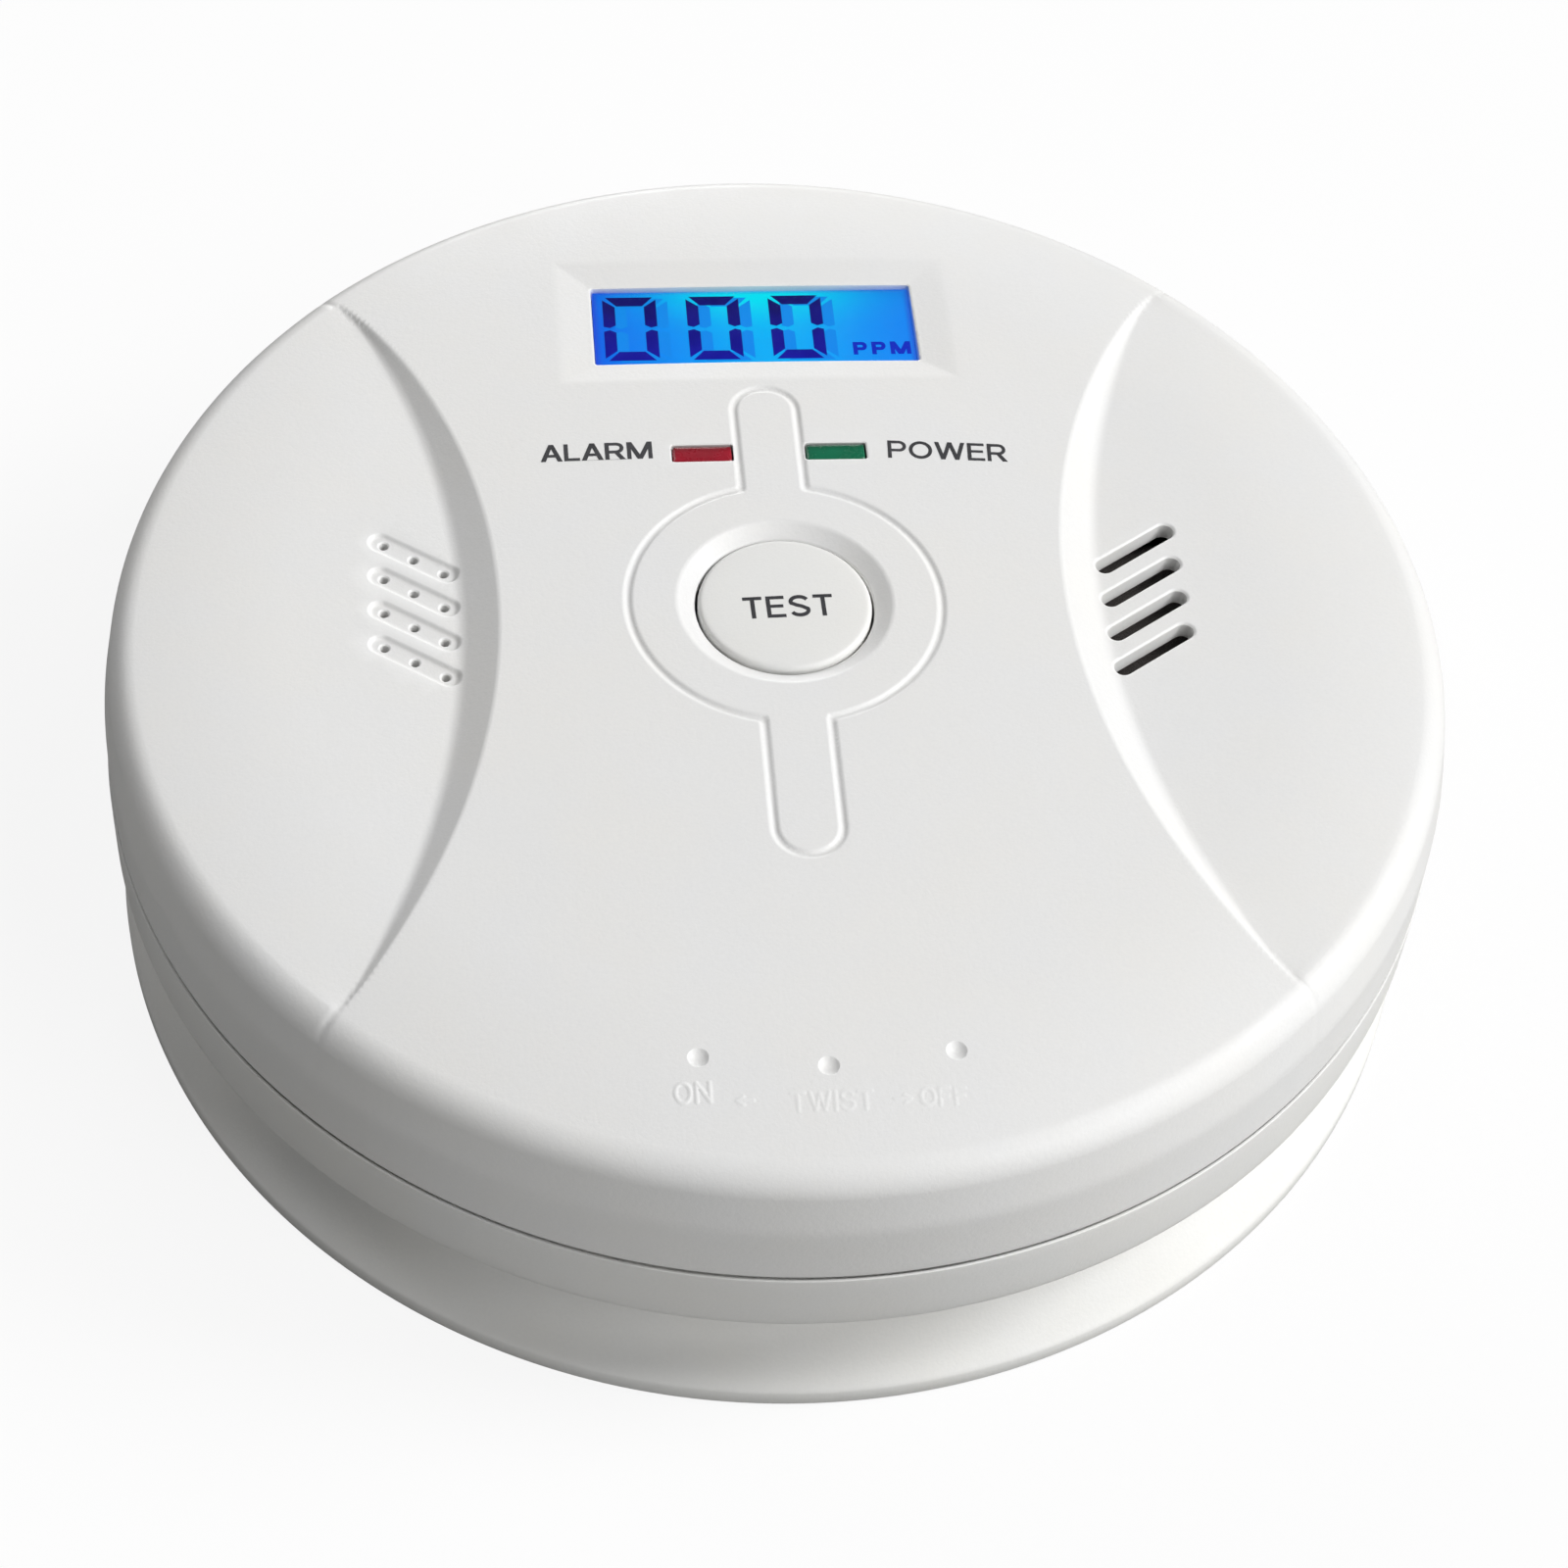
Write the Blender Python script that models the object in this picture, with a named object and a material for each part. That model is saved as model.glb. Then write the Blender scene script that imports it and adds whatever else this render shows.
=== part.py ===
"""Round wall-mounted carbon monoxide alarm: twist-off wall plate, two-part case, display,
lamps, test button and the electronics inside.

Frame: origin at the centre of the wall plate's back face, +Z out of the wall to the front,
+Y towards the display (12 o'clock), so +X is to the right when seen from the front.
Dimensions are in millimetres and are scaled to metres once, when a mesh is made.
"""

import math

import bmesh
import bpy
from mathutils import Matrix, Vector

MM = 0.001
SEG = 72                    # facets round the big shells
SMOOTH = 30                 # edges sharper than this angle stay sharp, degrees

# ------------------------------------------------------------------ shared dimensions
# seam between front cover and rear case
CASE_R = 50.0
SEAM_Z = 16.8
SEAM_GAP = 0.3
WALL_SIDE = 2.1             # thickness of the side walls
CASE_INNER_R = CASE_R - WALL_SIDE - 0.1
STEP_JOINT_R = CASE_R - WALL_SIDE / 2     # the joint's step, half way through the wall
# main board
BOARD_Z, BOARD_T, BOARD_R = 19.9, 1.6, 40.8
BOARD_TOP = BOARD_Z + BOARD_T
PART_Z = BOARD_TOP + 0.2    # underside of the parts on the board
# places of the screws, and the radii of their holes and posts
SCREW_AT_R = 44.3
SCREW_ANGLES = (45.0, 135.0, 225.0, 315.0)
BOARD_SCREWS = ((27.0, 24.0), (-27.0, 24.0), (0.0, -36.0))
SCREW_HOLE_R = 1.55
CASE_POST_R, BOARD_POST_R = 3.1, 2.7
# display opening and lamps
WIN_X, WIN_Y0, WIN_Y1, WIN_Z = 12.7, 25.9, 34.6, 28.0
LAMP_X, LAMP_Y, LAMP_L, LAMP_W = 5.07, 15.2, 4.75, 1.9
# drum of the rear case and the twist lock that holds it to the wall plate
DRUM_R, DRUM_Z, DRUM_T = 39.6, 3.2, 1.6
HOOK_ANGLES = (20.0, 110.0, 200.0, 290.0)
# cells, lying along Y
CELL_R, CELL_LEN, CELL_PITCH, CELL_Z = 7.0, 50.5, 14.6, 10.0
CELL_END_Y = 27.6           # tip of the raised end; the flat end is at the other side
CONTACT_Y = 28.15
# sensor and buzzer
SENSOR_X, SENSOR_Y, SENSOR_R = 31.5, 0.9, 7.0
BUZZER_X, BUZZER_Y, BUZZER_R = -34.0, 0.9, 9.5


# ------------------------------------------------------------------ materials and objects
def material(name, colour, roughness, metallic=0.0):
    made = bpy.data.materials.new(name)
    made.use_nodes = True
    shader = made.node_tree.nodes["Principled BSDF"]
    shader.inputs["Base Color"].default_value = (*colour, 1.0)
    shader.inputs["Roughness"].default_value = roughness
    shader.inputs["Metallic"].default_value = metallic
    made.diffuse_color = (*colour, 1.0)
    return made


def abs_white(name):
    return material(name, colour=(0.80, 0.80, 0.79), roughness=0.5)


def finish(name, shape, mat=None, smooth=None):
    """Turns a bmesh in millimetres into a named object in metres."""
    bmesh.ops.recalc_face_normals(shape, faces=shape.faces)
    mesh = bpy.data.meshes.new(name)
    shape.to_mesh(mesh)
    shape.free()
    mesh.transform(Matrix.Scale(MM, 4))
    if smooth:
        mesh.shade_smooth()
        mesh.set_sharp_from_angle(angle=math.radians(smooth))
    obj = bpy.data.objects.new(name, mesh)
    bpy.context.scene.collection.objects.link(obj)
    if mat:
        mesh.materials.append(mat)
    return obj


def boolean(target, tool, operation="DIFFERENCE"):
    """A live exact Boolean. The tool stays in the file as a hidden wire helper."""
    tool.hide_render = True
    tool.display_type = "WIRE"
    mod = target.modifiers.new(tool.name, "BOOLEAN")
    mod.operation = operation
    mod.object = tool
    mod.solver = "EXACT"


def set_origin(obj, point):
    """Moves the object's origin to a point (mm) without moving the shape."""
    offset = Vector(point) * MM
    obj.data.transform(Matrix.Translation(-offset))
    obj.location = offset


# ------------------------------------------------------------------ outlines and paths
def polar(radius, degrees):
    angle = math.radians(degrees)
    return radius * math.cos(angle), radius * math.sin(angle)


def arc(centre_x, centre_y, radius, start, stop, steps):
    """Points from one angle to another (radians), both ends included."""
    angles = [start + (stop - start) * i / steps for i in range(steps + 1)]
    return [(centre_x + radius * math.cos(angle), centre_y + radius * math.sin(angle))
            for angle in angles]


def capsule(centre_x, centre_y, length, width, turn, steps):
    """Outline of a slot with round ends, its length measured over the ends."""
    half, quarter = (length - width) / 2, math.pi / 2
    flat = arc(half, 0, width / 2, -quarter, quarter, steps)
    flat += arc(-half, 0, width / 2, quarter, 3 * quarter, steps)
    cos, sin = math.cos(math.radians(turn)), math.sin(math.radians(turn))
    return [(centre_x + x * cos - y * sin, centre_y + x * sin + y * cos) for x, y in flat]


def rectangle(half_x, y0, y1, steps=4):
    """Points round a rectangle centred on X, the same number on each side."""
    corners = [(-half_x, y0), (half_x, y0), (half_x, y1), (-half_x, y1)]
    return [tuple(start[i] + (stop[i] - start[i]) * k / steps for i in (0, 1))
            for start, stop in zip(corners, corners[1:] + corners[:1]) for k in range(steps)]


def disc(radius, z0, z1):
    """Lathe profile of a plain cylinder."""
    return [(0, z1), (radius, z1), (radius, z0), (0, z0)]


def smooth_path(guides, steps=3):
    """Catmull-Rom points through a few guide points."""
    pts = [Vector(p) for p in guides]
    out = []
    for i in range(len(pts) - 1):
        before, start = pts[max(i - 1, 0)], pts[i]
        stop, after = pts[i + 1], pts[min(i + 2, len(pts) - 1)]
        for k in range(steps):
            t = k / steps
            out.append(0.5 * ((2 * start) + (stop - before) * t
                              + (2 * before - 5 * start + 4 * stop - after) * t * t
                              + (3 * start - before - 3 * stop + after) * t ** 3))
    out.append(pts[-1])
    return out


def tangents(points):
    last = len(points) - 1
    return [(points[min(i + 1, last)] - points[max(i - 1, 0)]).normalized()
            for i in range(len(points))]


# ------------------------------------------------------------------ solids
def add_ring(shape, points):
    return [shape.verts.new(p) for p in points]


def cap(shape, first, last):
    shape.faces.new(list(reversed(first)))
    shape.faces.new(last)


def bridge(shape, rings):
    """Quads between each closed ring of vertices and the next."""
    for low, high in zip(rings, rings[1:]):
        for i in range(len(low)):
            j = (i + 1) % len(low)
            shape.faces.new((low[i], low[j], high[j], high[i]))


def add_box(shape, low, high):
    made = bmesh.ops.create_cube(shape, size=1.0)["verts"]
    size = [high[i] - low[i] for i in range(3)]
    mid = [(high[i] + low[i]) / 2 for i in range(3)]
    place = Matrix.Translation(mid) @ Matrix.Diagonal((*size, 1))
    bmesh.ops.transform(shape, verts=made, matrix=place)


def add_lathe(shape, profile, seg, centre=(0, 0, 0), matrix=None):
    """Spins a closed (r, z) loop, or an open one whose ends are on the axis, round +Z."""
    before = set(shape.verts)
    start = add_ring(shape, [(r, 0, z) for r, z in profile])
    pairs = list(zip(start, start[1:]))
    if profile[0][0] > 1e-6 or profile[-1][0] > 1e-6:
        pairs.append((start[-1], start[0]))
    edges = [shape.edges.new(pair) for pair in pairs]
    bmesh.ops.spin(shape, geom=start + edges, cent=(0, 0, 0), axis=(0, 0, 1),
                   angle=2 * math.pi, steps=seg, use_merge=True)
    made = [v for v in shape.verts if v not in before]
    bmesh.ops.remove_doubles(shape, verts=made, dist=1e-5)
    made = [v for v in shape.verts if v not in before]
    if matrix is not None:
        bmesh.ops.transform(shape, verts=made, matrix=matrix)
    bmesh.ops.translate(shape, verts=made, vec=centre)


def add_cylinder(shape, centre, radius, z0, z1, seg):
    add_lathe(shape, disc(radius, z0, z1), seg, (*centre, 0))


def add_prism(shape, outline, z0, z1):
    """Extrudes an outline up to z1. z0 is a number, or a function of (x, y)."""
    floor = z0 if callable(z0) else lambda x, y: z0
    bottom = add_ring(shape, [(x, y, floor(x, y)) for x, y in outline])
    top = add_ring(shape, [(x, y, z1) for x, y in outline])
    cap(shape, bottom, top)
    bridge(shape, [bottom, top])


def add_sector(shape, r0, r1, deg0, deg1, z0, z1, steps):
    """A block between two radii and two angles (degrees)."""
    start, stop = math.radians(deg0), math.radians(deg1)
    outline = arc(0, 0, r1, start, stop, steps) + arc(0, 0, r0, start, stop, steps)[::-1]
    add_prism(shape, outline, z0, z1)


def add_tube(shape, path, radius, sides=6):
    """A round wire along a path, closed at both ends."""
    points = [Vector(p) for p in path]
    side = None
    rings = []
    for point, along in zip(points, tangents(points)):
        if side is None:
            side = along.cross(Vector((0, 0, 1)))
        side = (side - along * side.dot(along)).normalized()
        other = along.cross(side)
        turns = [2 * math.pi * k / sides for k in range(sides)]
        rings.append(add_ring(shape, [
            point + radius * (math.cos(turn) * side + math.sin(turn) * other)
            for turn in turns]))
    bridge(shape, rings)
    cap(shape, rings[0], rings[-1])


def box_object(name, low, high, mat=None):
    shape = bmesh.new()
    add_box(shape, low, high)
    return finish(name, shape, mat)


def lathe_object(name, profile, seg, mat=None, centre=(0, 0, 0), matrix=None, smooth=SMOOTH):
    shape = bmesh.new()
    add_lathe(shape, profile, seg, centre, matrix)
    return finish(name, shape, mat, smooth)


CASE_SCREWS = [polar(SCREW_AT_R, deg) for deg in SCREW_ANGLES]


# ------------------------------------------------------------------ the cover's outer surface
TOP_Z = 29.35                         # crown of the domed front
DOME_DROP, DOME_R = 1.3, 45.35        # fall of the dome from the centre to this radius
ROLL_R, ROLL_DROP = 36.0, 0.6         # start and amount of the extra fall towards the rim
RIM_FLAT_R = 47.1                     # start of the rounded rim
ROLL_RUN = RIM_FLAT_R - 0.1 - ROLL_R
RIM_FILLET, RIM_TILT = 2.5, 66.0      # rim radius, and its slope in degrees at the chamfer
RIM_LOW_R, RIM_LOW_FILLET = 49.65, 2.3
# side areas: lower lens-shaped fields beyond two crescent steps, one on each side in X
STEP_IN_X, STEP_IN_R = 20.8, 56.1     # upper edge of the step: apex on X, arc radius
STEP_OUT_X, STEP_OUT_R = 23.6, 71.8   # lower edge of the step
STEP_IN_MAX, STEP_OUT_MAX = 43.0, 44.4    # furthest the two edges reach from the centre
STEP_MIN_RUN = 0.7                    # least radial distance between them
STEP_TIP_Y = 34.2
STEP_Y0 = -0.2
STEP_DROP = 1.55                      # depth at the middle of the step
RIM_DROP = 0.2                        # depth left at the rim


def dome(r):
    roll = max(r - ROLL_R, 0.0) / ROLL_RUN
    return TOP_Z - DOME_DROP * (r / DOME_R) ** 2 - ROLL_DROP * roll ** 2


def arc_at(y, apex, radius):
    """|x| of a crescent edge at height y."""
    return apex + radius - math.sqrt(radius ** 2 - (y - STEP_Y0) ** 2)


def side_drop(x, y):
    """How far the surface lies under the dome, at a point of the front."""
    t = abs(y - STEP_Y0) / STEP_TIP_Y
    if t >= 1:
        return 0.0
    inner, outer = arc_at(y, STEP_IN_X, STEP_IN_R), arc_at(y, STEP_OUT_X, STEP_OUT_R)
    if abs(x) <= inner:
        return 0.0
    share = min((abs(x) - inner) / max(outer - inner, 0.4), 1.0)
    rim_x = math.sqrt(RIM_FLAT_R ** 2 - y * y)
    beyond = min(max((abs(x) - outer) / max(rim_x - outer, 0.5), 0.0), 1.0)
    return (STEP_DROP + (RIM_DROP - STEP_DROP) * beyond) * (1 - t * t) ** 0.7 * share


def surface(x, y):
    return dome(math.hypot(x, y)) - side_drop(x, y)


def ray_to_arc(cos, sin, apex, radius):
    """Distance along a ray from the centre to a crescent edge, infinite if it misses."""
    centre_x = apex + radius
    nearest = abs(cos) * centre_x + sin * STEP_Y0
    square = nearest * nearest - (centre_x * centre_x + STEP_Y0 ** 2 - radius ** 2)
    return nearest - math.sqrt(square) if square >= 0 else math.inf


def rim_profile():
    """(r, z) down the rim: a small radius, a steep chamfer and a soft run-out to the wall."""
    slope = 2 * DOME_DROP * RIM_FLAT_R / DOME_R ** 2 + 2 * ROLL_DROP / ROLL_RUN
    start, stop = math.atan(slope), math.radians(RIM_TILT)
    out = []
    for k in range(5):
        tilt = start + (stop - start) * k / 4
        out.append((RIM_FLAT_R + RIM_FILLET * (math.sin(tilt) - math.sin(start)),
                    dome(RIM_FLAT_R) - RIM_FILLET * (math.cos(start) - math.cos(tilt))))
    r, z = out[-1]
    z_low = z - (RIM_LOW_R - r) * math.tan(stop)
    for deg in (RIM_TILT, 78.0, 90.0):
        tilt = math.radians(deg)
        out.append((RIM_LOW_R + RIM_LOW_FILLET * (math.sin(tilt) - math.sin(stop)),
                    z_low - RIM_LOW_FILLET * (math.cos(stop) - math.cos(tilt))))
    return out


# ------------------------------------------------------------------ front cover
COVER_WALL = 2.0
HOLE_R, DISH_R, DISH_DEPTH = 6.7, 7.95, 0.75    # button hole and the dish round it
HOLE_WALL = 1.9
SOCKET_TOP = SEAM_Z + 1.7                       # top of the step joint's socket
# (r, z) up the inside of the wall and rim; z is lowered where the side areas drop
INSIDE_RIM = ((CASE_R - WALL_SIDE - 0.2, 23.0), (46.6, 24.95), (45.2, 25.6))
RIM = rim_profile()
# heights that cutters reach below and above the front
CUT_Z0, CUT_Z1, GROOVE_CUT_Z1 = 20, 32, 31
# bevelled recess round the display opening, and the pocket behind it
RECESS_X, RECESS_Y0, RECESS_Y1 = 15.4, 23.25, 37.3
RECESS_MARGIN = 0.25                            # floor left round the opening
POCKET_X, POCKET_Y0, POCKET_Y1, POCKET_Z = 16.9, 21.8, 37.9, 27.0
LAMP_GAP = 0.2
# keyhole-shaped groove: a ring with a round-ended arm up and one down
KEY_R, KEY_ARM, KEY_TOP_Y, KEY_LOW_Y = 11.5, 2.4, 22.1, -23.3
KEY_W, KEY_DEPTH = 0.6, 0.35
# vents
VENT_X, VENT_LEN, VENT_PITCH, VENT_ANGLE = 27.0, 7.4, 3.35, 33.0
VENT_ROWS = [(1.5 - k) * VENT_PITCH for k in range(4)]
VENT_Y_RIGHT, VENT_Y_LEFT = 1.0, 1.5
SLOT_W, GROOVE_W, GROOVE_DEPTH = 1.45, 1.7, 0.45
PIN_R, PIN_PITCH = 0.45, 2.6
# three dimples near the lower edge
DIMPLE_R, DIMPLE_AT_R, DIMPLE_DEPTH = 1.0, 40.35, 0.5
DIMPLE_MID_ANGLE, DIMPLE_STEP = -90.4, 12.3


def cover_loop(angle):
    """The cover's closed section at one angle: out along the front, down the wall and
    back along the inside."""
    cos, sin = math.cos(angle), math.sin(angle)
    step_top = min(ray_to_arc(cos, sin, STEP_IN_X, STEP_IN_R), STEP_IN_MAX)
    step_foot = ray_to_arc(cos, sin, STEP_OUT_X, STEP_OUT_R)
    step_foot = min(max(step_foot, step_top + STEP_MIN_RUN), STEP_OUT_MAX)
    drop = side_drop(RIM_FLAT_R * cos, RIM_FLAT_R * sin)

    def front(r):
        return surface(r * cos, r * sin)

    dish_z = dome(HOLE_R) - DISH_DEPTH
    span = step_top - DISH_R
    on_front = (DISH_R + span * 0.35, DISH_R + span * 0.7,
                step_top, step_foot, (step_foot + RIM_FLAT_R) / 2)
    loop = [(HOLE_R, dish_z), (DISH_R, dome(DISH_R))]
    loop += [(r, front(r)) for r in on_front]
    loop += [(r, z - drop) for r, z in RIM]
    loop += [
        (CASE_R, SEAM_Z + SEAM_GAP / 2),
        (STEP_JOINT_R, SEAM_Z + SEAM_GAP / 2),
        (STEP_JOINT_R, SOCKET_TOP),
        (CASE_INNER_R, SOCKET_TOP),
    ]
    loop += [(r, z - drop) for r, z in INSIDE_RIM]
    loop += [
        (step_foot, front(step_foot) - COVER_WALL),
        (step_top, front(step_top) - COVER_WALL),
        (HOLE_R, dish_z - HOLE_WALL),
    ]
    return [(r * cos, r * sin, z) for r, z in loop]


def add_cover_posts(cover):
    shape = bmesh.new()
    for spot in CASE_SCREWS:
        add_cylinder(shape, spot, CASE_POST_R, 19.5, 25.8, 16)
    for spot in BOARD_SCREWS:
        add_cylinder(shape, spot, BOARD_POST_R, BOARD_TOP + 0.3, 26.9, 16)
    boolean(cover, finish("cover_posts", shape), "UNION")


def cut_cover_openings(cover):
    """Screw holes, display opening, lamp slots and the slots over the sensor."""
    shape = bmesh.new()
    for spot in CASE_SCREWS:
        add_cylinder(shape, spot, SCREW_HOLE_R, 18.0, 24.4, 10)
    for spot in BOARD_SCREWS:
        add_cylinder(shape, spot, SCREW_HOLE_R, 20.0, 25.6, 10)
    # the display opening only has to reach into the recess that is cut above it
    add_box(shape, (-WIN_X, WIN_Y0, CUT_Z0), (WIN_X, WIN_Y1, 28.6))
    for side in (-1, 1):
        add_box(shape,
                (side * LAMP_X - LAMP_L / 2 - LAMP_GAP, LAMP_Y - LAMP_W / 2 - LAMP_GAP, CUT_Z0),
                (side * LAMP_X + LAMP_L / 2 + LAMP_GAP, LAMP_Y + LAMP_W / 2 + LAMP_GAP, CUT_Z1))
    for row in VENT_ROWS:
        outline = capsule(VENT_X, VENT_Y_RIGHT + row, VENT_LEN, SLOT_W, VENT_ANGLE, 4)
        add_prism(shape, outline, CUT_Z0, CUT_Z1)
    boolean(cover, finish("cover_cut_through", shape))


def cut_display_recess(cover):
    """Bevelled recess: its floor is at WIN_Z, its outer edge lies on the dome."""
    inner = rectangle(WIN_X + RECESS_MARGIN, WIN_Y0 - RECESS_MARGIN, WIN_Y1 + RECESS_MARGIN)
    outer = rectangle(RECESS_X, RECESS_Y0, RECESS_Y1)
    shape = bmesh.new()
    rings = [
        add_ring(shape, [(x, y, WIN_Z) for x, y in inner]),
        add_ring(shape, [(x, y, surface(x, y) + 0.02) for x, y in outer]),
        add_ring(shape, [(x, y, GROOVE_CUT_Z1) for x, y in outer]),
    ]
    cap(shape, rings[0], rings[-1])
    bridge(shape, rings)
    boolean(cover, finish("cover_cut_recess", shape))


def cut_display_pocket(cover):
    """Pocket under the display opening for the rear glass and its frame."""
    boolean(cover, box_object("cover_cut_display_pocket", (-POCKET_X, POCKET_Y0, CUT_Z0),
                              (POCKET_X, POCKET_Y1, POCKET_Z)))


def key_outline(grow):
    radius, arm = KEY_R + grow, KEY_ARM + grow
    join = math.asin(arm / radius)
    points = []
    for half, arm_y in ((0, KEY_TOP_Y - KEY_ARM), (1, KEY_LOW_Y + KEY_ARM)):
        start = -math.pi / 2 + math.pi * half
        points += arc(0, 0, radius, start + join, start + math.pi - join, 10)
        points += arc(0, arm_y, arm, math.pi * half, math.pi * (half + 1), 5)
    return points


def cut_key_groove(cover):
    """A closed strip that follows the ring and its two arms at an even depth."""
    shape = bmesh.new()
    rows = []
    for outer, inner in zip(key_outline(KEY_W / 2), key_outline(-KEY_W / 2)):
        rows.append(add_ring(shape, [
            (*outer, GROOVE_CUT_Z1),
            (*inner, GROOVE_CUT_Z1),
            (*inner, surface(*inner) - KEY_DEPTH),
            (*outer, surface(*outer) - KEY_DEPTH),
        ]))
    bridge(shape, rows + rows[:1])
    boolean(cover, finish("cover_cut_key_groove", shape))


def cut_grooves_and_pins(cover):
    """Shallow grooves with pin holes on the buzzer's side, and the three dimples."""
    grooves, pins = bmesh.new(), bmesh.new()
    for row in VENT_ROWS:
        y = VENT_Y_LEFT + row
        outline = capsule(-VENT_X, y, VENT_LEN, GROOVE_W, -VENT_ANGLE, 3)
        add_prism(grooves, outline, lambda px, py: surface(px, py) - GROOVE_DEPTH,
                  GROOVE_CUT_Z1)
        for n in (-1, 0, 1):
            along_x, along_y = polar(n * PIN_PITCH, -VENT_ANGLE)
            add_cylinder(pins, (-VENT_X + along_x, y + along_y), PIN_R, CUT_Z0, CUT_Z1, 6)
    for n in (-1, 0, 1):
        x, y = polar(DIMPLE_AT_R, DIMPLE_MID_ANGLE + n * DIMPLE_STEP)
        z = surface(x, y)
        profile = [(0, z + 1.5), (DIMPLE_R + 0.2, z + 1.5), (DIMPLE_R, z),
                   (0.6, z - 0.4), (0, z - DIMPLE_DEPTH)]
        add_lathe(grooves, profile, 10, (x, y, 0))
    boolean(cover, finish("cover_cut_grooves", grooves))
    boolean(cover, finish("cover_cut_pin_holes", pins))


def build_front_cover():
    shape = bmesh.new()
    loops = [add_ring(shape, cover_loop(2 * math.pi * i / SEG)) for i in range(SEG)]
    bridge(shape, loops + loops[:1])
    cover = finish("front_cover", shape, abs_white("cover_plastic"), SMOOTH)
    add_cover_posts(cover)
    cut_cover_openings(cover)
    cut_display_recess(cover)
    cut_display_pocket(cover)
    cut_key_groove(cover)
    cut_grooves_and_pins(cover)


# ------------------------------------------------------------------ rear case
REAR_Z, REAR_EDGE_R = 11.2, 49.65
REAR_FLOOR = REAR_Z + 2.0
TONGUE_R, TONGUE_TOP = STEP_JOINT_R - 0.3, SEAM_Z + 1.4
BAY_X, BAY_Y, BAY_ROOF, BAY_T = 22.4, 29.0, 17.3, 1.6
LUG_R, LUG_Z0, LUG_Z1, LUG_HALF = 41.9, 6.4, 8.0, 6.0       # half width in degrees
TAB_SLOT_HALF, TAB_SLOT_Y0, TAB_SLOT_Y1 = 2.0, 27.7, 28.95


def build_rear_case():
    seam = SEAM_Z - SEAM_GAP / 2
    case = lathe_object("rear_case", [
        (CASE_R, seam), (49.85, 14.0), (REAR_EDGE_R, REAR_Z + 0.5), (49.2, REAR_Z),
        (40.0, REAR_Z), (DRUM_R, REAR_Z - 0.4), (DRUM_R, DRUM_Z + 0.4),
        (DRUM_R - 0.4, DRUM_Z), (0, DRUM_Z), (0, DRUM_Z + DRUM_T),
        (DRUM_R - DRUM_T, DRUM_Z + DRUM_T), (DRUM_R - DRUM_T, REAR_FLOOR),
        (CASE_INNER_R, REAR_FLOOR), (CASE_INNER_R, TONGUE_TOP), (TONGUE_R, TONGUE_TOP),
        (TONGUE_R, seam),
    ], SEG, abs_white("rear_plastic"))

    # battery bay, screw posts and the lugs that turn behind the wall plate's hooks
    shape = bmesh.new()
    add_box(shape, (-BAY_X - BAY_T, -BAY_Y - BAY_T, DRUM_Z + 0.8),
            (BAY_X + BAY_T, BAY_Y + BAY_T, BAY_ROOF + BAY_T))
    for spot in CASE_SCREWS:
        add_cylinder(shape, spot, CASE_POST_R, 11.6, 19.2, 16)
    for deg in HOOK_ANGLES:
        add_sector(shape, DRUM_R - 0.8, LUG_R, deg - LUG_HALF, deg + LUG_HALF,
                   LUG_Z0, LUG_Z1, 3)
    boolean(case, finish("rear_bay_posts_lugs", shape), "UNION")

    # inside of the bay, open at the back, and the stepped screw holes
    shape = bmesh.new()
    add_box(shape, (-BAY_X, -BAY_Y, 1), (BAY_X, BAY_Y, BAY_ROOF))
    screw_hole = [(0, 20.5), (SCREW_HOLE_R, 20.5), (SCREW_HOLE_R, 13.7), (2.9, 13.7),
                  (2.9, 10.2), (0, 10.2)]
    for spot in CASE_SCREWS:
        add_lathe(shape, screw_hole, 12, (*spot, 0))
    boolean(case, finish("rear_cut_bay_screws", shape))

    # slots in the bay roof for the two contact tabs
    shape = bmesh.new()
    for x, y0, y1 in ((-CELL_PITCH, TAB_SLOT_Y0, TAB_SLOT_Y1),
                      (CELL_PITCH, -TAB_SLOT_Y1, -TAB_SLOT_Y0)):
        add_box(shape, (x - TAB_SLOT_HALF, y0, 16.5), (x + TAB_SLOT_HALF, y1, 20))
    boolean(case, finish("rear_cut_tab_slots", shape))


# ------------------------------------------------------------------ wall plate
PLATE_R, PLATE_EDGE, PLATE_T = 50.0, 1.5, 2.2
NECK_R, NECK_TOP, NECK_T = 44.5, 10.6, 2.0
NECK_INNER_R = NECK_R - NECK_T
# (r, z) up the outside, from the plate's edge to the neck
PLATE_FLARE = [
    (PLATE_R, 0.0), (PLATE_R, PLATE_EDGE), (49.7, 1.95), (48.6, 2.35), (47.2, 3.05),
    (46.1, 4.1), (45.3, 5.5), (44.8, 7.2), (NECK_R, 9.2), (NECK_R, NECK_TOP),
]
HOOK_R, HOOK_Z0, HOOK_Z1 = 40.35, 8.4, 10.0
HOOK_HALF, HOOK_EXTRA = 7.0, 3.6            # degrees; the extra length carries the stop
STOP_FROM, STOP_TO = 3.2, 1.2               # degrees beyond the hook's half width
# centre x and turn of the two screw slots: the left one runs along Y, the right one along X
PLATE_SLOTS = ((-30.0, 90.0), (30.0, 0.0))
PLATE_SLOT_Y = 0.09
PLATE_SLOT_SIZE, PLATE_SINK_SIZE = (10.0, 4.2), (13.0, 7.2)     # length, width


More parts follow.
